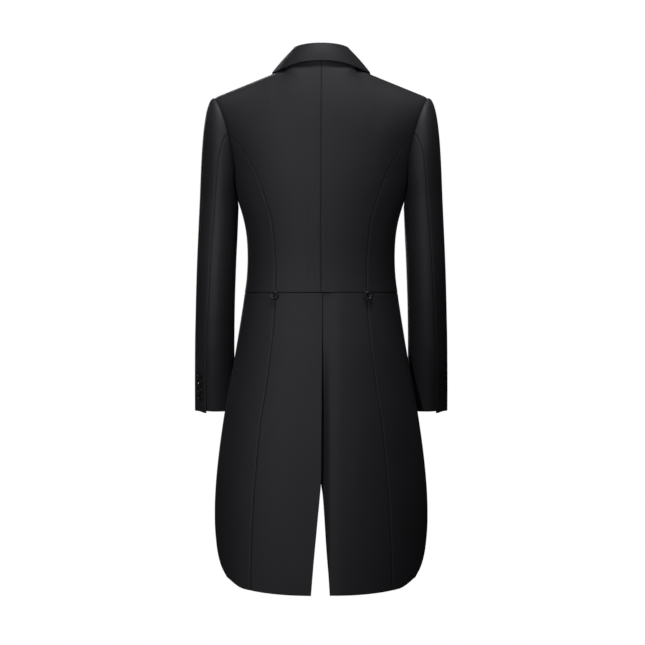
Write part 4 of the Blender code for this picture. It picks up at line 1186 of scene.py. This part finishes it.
def collar_stations():
    """Stand, leaf and free edge of stations on the collar's left half, from the centre back to the gorge."""
    stations = []
    for turn in STATION_SHARES * math.pi / 2:
        x = NECK_HALF_WIDTH * math.sin(turn)
        seam_y, seam_z = shoulder_line(np.float64(x))
        fold_y = mix(NECK_POINT_Y, FOLD_BACK_Y, math.cos(turn))
        fold_z = mix(FOLD_SIDE_Z, FOLD_BACK_Z, math.cos(turn))
        fold = np.array([FOLD_HALF_WIDTH * math.sin(turn), fold_y, fold_z])
        edge_x = COLLAR_EDGE_BACK[-1].x * math.sin(turn)
        edge = np.array([edge_x, *(reading(COLLAR_EDGE_BACK, name, edge_x, key="x") for name in "yz")])
        leaf = np.array([(angle_at(x, seam_z), seam_z)] + [below_neck(x)] * (len(LEAF_SHARES) - 1), float)
        stations.append((fold - (x, seam_y, seam_z), leaf, edge))
    side_stand = stations[-1][0]
    for share in COLLAR_FRONT[-1].share * GORGE_SHARES[1:]:
        x, edge_z, height = (
            reading(COLLAR_FRONT, name, share, key="share") for name in ("edge_x", "edge_z", "stand")
        )
        z = mix(NECK_POINT_Z, GORGE_Z, share)
        stand = side_stand * height + roll_start(z) * (1 - height)
        leaf = straight(front_edge(np.array([z]))[0], (angle_at(x, edge_z, front=True), edge_z), LEAF_SHARES)
        stations.append((stand, leaf, None))
    gorge_z = GORGE_Z + SEAM_GAP
    notch = angle_at(*LAPEL_NOTCH, front=True), LAPEL_NOTCH[1] + NOTCH_GAP
    stand, leaf, _ = stations.pop()
    last_leaf = straight(front_edge(np.array([gorge_z]))[0], notch, LEAF_SHARES)
    for t in crowded(NOTCH_STATIONS, length=0.014, start=False):
        stations.append((mix(stand, roll_start(gorge_z), t), mix(leaf, last_leaf, t), None))
    return stations


def folded_lines(stations, shares):
    feet = np.array([body(leaf[0]) for _, leaf, _ in stations])
    tangents = np.concatenate([feet[1:2] - feet[:1], feet[2:] - feet[:-2], feet[-1:] - feet[-2:-1]])
    if abs(feet[0][0]) < TINY:
        tangents[0] = (1, 0, 0)
    return np.array([
        folded_line(stand, tangent, leaf, edge, shares)
        for (stand, leaf, edge), tangent in zip(stations, tangents)
    ])


def strip(name, lines, looks, side=1):
    normals = grid_normals(lines)
    return cloth(name, lines + normals * WALL / 2, normals, looks, side, drawn=(RIM_REACH,) * 4)


def make_collar():
    half = folded_lines(collar_stations(), LEAF_SHARES)
    whole = np.concatenate([half[:0:-1] * (-1, 1, 1), half])
    item = strip("cloth_collar", whole, (WOOL_LOOK,))


def make_lapel(side_name, side):
    left = front_edge(mix(GORGE_Z - SEAM_GAP, BREAK_Z, LAPEL_SHARES))
    z = mix(LAPEL_BELLY[0].z, BREAK_Z, LAPEL_SHARES)
    right = spots_at(reading(LAPEL_BELLY, "x", z), z, front=True)
    notch = np.array([angle_at(*LAPEL_NOTCH, front=True), LAPEL_NOTCH[1]], float)
    peak = crowded(PEAK_COLUMNS, length=0.055)
    top = np.concatenate([straight(left[0], notch, LEAF_SHARES), straight(notch, right[0], peak)[1:]])
    shares = np.concatenate([LEAF_SHARES * LEAF_COLUMNS, LEAF_COLUMNS + peak[1:] * PEAK_COLUMNS])
    shares = shares / shares[-1]
    grid = patch(top, straight(left[-1], right[-1], shares), left, right, shares)
    stations = [(roll_start(row[0][1]), row, None) for row in grid]
    item = strip("cloth_lapel_" + side_name, folded_lines(stations, shares), (SILK_LOOK,), side)


# Buttons


def skin(rings, count):
    """Faces of a closed body with this count of points in each ring."""
    faces = []
    for k in range(rings - 1):
        for j in range(count):
            m = (j + 1) % count
            faces.append((k * count + j, (k + 1) * count + j, (k + 1) * count + m, k * count + m))
    last = (rings - 1) * count
    return [*faces, tuple(range(count)), tuple(range(last, last + count))[::-1]]


def lathe(outline, radius, height, count):
    """Points and faces of an outline of (across, up) shares turned about Z, closed at both ends."""
    points = []
    for row in outline:
        for turn in steps(0, math.tau, count)[:-1]:
            out = radius * row.across
            points.append((out * math.cos(turn), out * math.sin(turn), height * row.up))
    return points, skin(len(outline), count)


def tube(path, radius):
    """Points and faces of a closed tube along a path in the XZ or YZ plane."""
    points = []
    path = np.array(path)
    for k, here in enumerate(path):
        along = unit(path[min(len(path) - 1, k + 1)] - path[max(0, k - 1)])
        side = unit(np.cross(along, (0, 0, 1) if abs(along[2]) < STEEP else (1, 0, 0)))
        up = np.cross(side, along)
        for turn in steps(0, math.tau, TUBE_SIDES)[:-1]:
            points.append(here + radius * (side * math.cos(turn) + up * math.sin(turn)))
    return points, [face[::-1] for face in skin(len(path), TUBE_SIDES)]


def smoothed(outline):
    """The outline with its corners cut off again and again, and without its ends on the axis."""
    rows = np.array(outline)
    for _ in range(CORNER_ROUNDS):
        first, second = rows[:-1], rows[1:]
        cut = np.stack([mix(first, second, CORNER_CUT), mix(second, first, CORNER_CUT)], 1).reshape(-1, 2)
        rows = np.concatenate([rows[:1], cut, rows[-1:]])
    return table("across up", *(row for row in rows if row[0] > LEAST_ACROSS))


def joined(name, groups, looks):
    """One object from several closed bodies. The first takes the first look and the others the second."""
    points, faces, kinds = [], [], []
    for k, (some, more) in enumerate(groups):
        faces += [tuple(i + len(points) for i in face) for face in more]
        points += [tuple(float(value) for value in point) for point in some]
        kinds += [min(k, 1)] * len(more)
    points = np.array(points)
    return mesh_object(name, points, faces, points[:, :2].copy(), looks, np.array(kinds))


def button_mesh(name, outline, radius, height, looks, sewn_through):
    """A button at the origin on its thread foot. A sewn-through one has four holes with thread in them."""
    groups = [lathe(smoothed(outline), radius, height, BUTTON_ROUND)]
    if sewn_through:
        disc = joined(name + "_disc", groups, looks)
        holes = []
        for x in (-HOLE_FROM_MIDDLE, HOLE_FROM_MIDDLE):
            for y in (-HOLE_FROM_MIDDLE, HOLE_FROM_MIDDLE):
                points, faces = lathe(HOLE_OUTLINE, HOLE_RADIUS, height, HOLE_ROUND)
                holes.append(([(p[0] + x, p[1] + y, p[2]) for p in points], faces))
        drill = joined(name + "_drill", holes, looks)
        cut = disc.modifiers.new("holes", "BOOLEAN")
        cut.operation, cut.solver, cut.object = "DIFFERENCE", "EXACT", drill
        bpy.context.view_layer.update()
        drilled = bpy.data.meshes.new_from_object(disc.evaluated_get(bpy.context.evaluated_depsgraph_get()))
        groups = [([v.co for v in drilled.vertices], [tuple(face.vertices) for face in drilled.polygons])]
        bpy.data.objects.remove(disc)
        bpy.data.objects.remove(drill)
        for x in (-HOLE_FROM_MIDDLE, HOLE_FROM_MIDDLE):
            along = steps(-1, 1, ARCH_STEPS)
            arch = [(x, HOLE_FROM_MIDDLE * t, THREAD_HEIGHT - THREAD_DROP * t**4) for t in along]
            groups.append(tube(arch, THREAD_RADIUS))
    groups.append(lathe(FOOT_OUTLINE, FOOT_RADIUS, FOOT_HEIGHT, FOOT_ROUND))
    model = joined(name, groups, looks)
    mesh = model.data
    mesh.set_sharp_from_angle(angle=BUTTON_SHARP)
    bpy.data.objects.remove(model)
    return mesh


def make_button(name, mesh, point, normal, side):
    item = bpy.data.objects.new("cloth_" + name, mesh)
    bpy.context.scene.collection.objects.link(item)
    turn = Vector(normal * (side, 1, 1)).to_track_quat("Z", "Y").to_matrix().to_4x4()
    item.matrix_world = Matrix.Translation((point + normal * BUTTON_GAP) * (side, 1, 1)) @ turn
    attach(item, "root")
    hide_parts(name)


COVERED = COVER_LOOK, THREAD_LOOK
BACK_BUTTON = button_mesh("back", COVERED_OUTLINE, BACK_BUTTON_RADIUS, BACK_BUTTON_HEIGHT, COVERED, False)
FRONT_BUTTON = button_mesh("front", COVERED_OUTLINE, FRONT_BUTTON_RADIUS, FRONT_BUTTON_HEIGHT, COVERED, False)
HORN = HORN_LOOK, THREAD_LOOK
CUFF_BUTTON = button_mesh("cuff", HORN_OUTLINE, CUFF_BUTTON_RADIUS, CUFF_BUTTON_HEIGHT, HORN, True)


def make_buttons(side_name, side):
    spot = spots_at(BACK_BUTTON_X, BACK_BUTTON_Z)
    make_button("back_button_" + side_name, BACK_BUTTON, body(spot), body_normal(spot), side)
    for i, row in enumerate(FRONT_BUTTONS, 1):
        spot = spots_at(row.x, row.z, front=True)
        name = f"front_button_{side_name}_{i}"
        make_button(name, FRONT_BUTTON, body(spot), body_normal(spot), side)
    for i, z in enumerate(CUFF_BUTTON_HEIGHTS, 1):
        turn = math.radians(reading(SLEEVES, "hind", z)) - CUFF_BUTTON_FROM_SEAM
        point = sleeve_ring(z, turn)
        along = sleeve_ring(z, turn + SMALL_TURN) - point
        down = sleeve_ring(z - SMALL_RISE, turn) - point
        normal = unit(np.cross(down, along))
        make_button(f"cuff_button_{side_name}_{i}", CUFF_BUTTON, point, normal, side)


for side_name, side in (("left", 1), ("right", -1)):
    make_back(side_name, side)
    make_side_body(side_name, side)
    make_front(side_name, side)
    make_tail_back(side_name, side)
    make_tail_side(side_name, side)
    make_sleeve(side_name, side)
    make_lapel(side_name, side)
    make_buttons(side_name, side)
make_collar()

# Studio

ROOM_LIGHT = (0.020, 0.020, 0.0215)
LAMPS = table(
    "name place aim size power spread",
    ("key", (2.05, 6.7, -0.1), (1.0, 0, -0.4), 0.8, 7.5, 28),
    ("top", (-0.1, 0.5, 3.0), (0, 0, -0.1), 1.0, 72.0, 180),
    ("upper", (-1.6, 5.6, 1.9), (-0.16, 0, 0.02), 0.3, 0.13, 8),
    ("low_left", (2.2, 6.0, -2.6), (0.15, 0, -0.26), 0.3, 0.075, 9),
    ("low_right", (-2.4, 5.8, -2.6), (-0.17, 0, -0.26), 0.3, 0.065, 9),
    ("front", (0.8, -5.5, 0.9), (0, 0, -0.5), 2.0, 150.0, 180),
)
FLOOR_RADIUS = 1.3
FLOOR_SIDES = 96
FLOOR_Z = -1.35
FLOOR_GRAIN = 3.0
FLOOR_DETAIL = 1.0
FLOOR_DIM = (0.985, 0.985, 0.985)
CAMERA_PLACE = (-0.0027, 7.0, -0.5457)
CAMERA_LENS = 190.6
CAMERA_SENSOR = 36.0


def light(row):
    data = bpy.data.lights.new(row.name, "AREA")
    data.shape = "DISK"
    data.size = row.size
    data.energy = row.power
    data.spread = math.radians(row.spread)
    lamp = bpy.data.objects.new(row.name, data)
    bpy.context.scene.collection.objects.link(lamp)
    lamp.location = row.place
    lamp.rotation_euler = (Vector(row.aim) - Vector(row.place)).to_track_quat("-Z", "Y").to_euler()


def backdrop():
    """White for the camera, and a dim even light for the cloth."""
    world = bpy.data.worlds.new("studio")
    bpy.context.scene.world = world
    world.use_nodes = True
    tree = world.node_tree
    tree.nodes.clear()
    seen = node(tree, "Background", {"Color": (1, 1, 1, 1)}).outputs["Background"]
    lit = node(tree, "Background", {"Color": (*ROOM_LIGHT, 1)}).outputs["Background"]
    to_camera = node(tree, "LightPath").outputs["Is Camera Ray"]
    both = node(tree, "MixShader", {"Fac": to_camera, 1: lit, 2: seen})
    node(tree, "OutputWorld", {"Surface": both.outputs["Shader"]})


def floor():
    look, tree = new_look("floor_white")
    tree.nodes.clear()
    white = shades(tree, noise(tree, FLOOR_GRAIN, FLOOR_DETAIL), FLOOR_DIM, (1, 1, 1))
    glow = node(tree, "Emission", {"Color": white}).outputs["Emission"]
    node(tree, "OutputMaterial", {"Surface": glow})
    turns = steps(0, math.tau, FLOOR_SIDES)[:-1]
    mesh = bpy.data.meshes.new("floor")
    points = [(FLOOR_RADIUS * math.cos(t), FLOOR_RADIUS * math.sin(t), FLOOR_Z) for t in turns]
    mesh.from_pydata(points, [], [tuple(range(len(points)))])
    mesh.materials.append(look)
    item = bpy.data.objects.new("floor", mesh)
    bpy.context.scene.collection.objects.link(item)
    item.visible_diffuse = item.visible_glossy = False


backdrop()
floor()
for lamp_row in LAMPS:
    light(lamp_row)

camera_data = bpy.data.cameras.new("camera")
camera_data.sensor_width = CAMERA_SENSOR
camera_data.lens = CAMERA_LENS
camera = bpy.data.objects.new("camera", camera_data)
bpy.context.scene.collection.objects.link(camera)
camera.location = CAMERA_PLACE
camera.rotation_euler = (math.pi / 2, 0, math.pi)
bpy.context.scene.camera = camera
bpy.context.scene.view_settings.view_transform = "Standard"
bpy.context.scene.view_settings.look = "None"

bpy.context.view_layer.update()
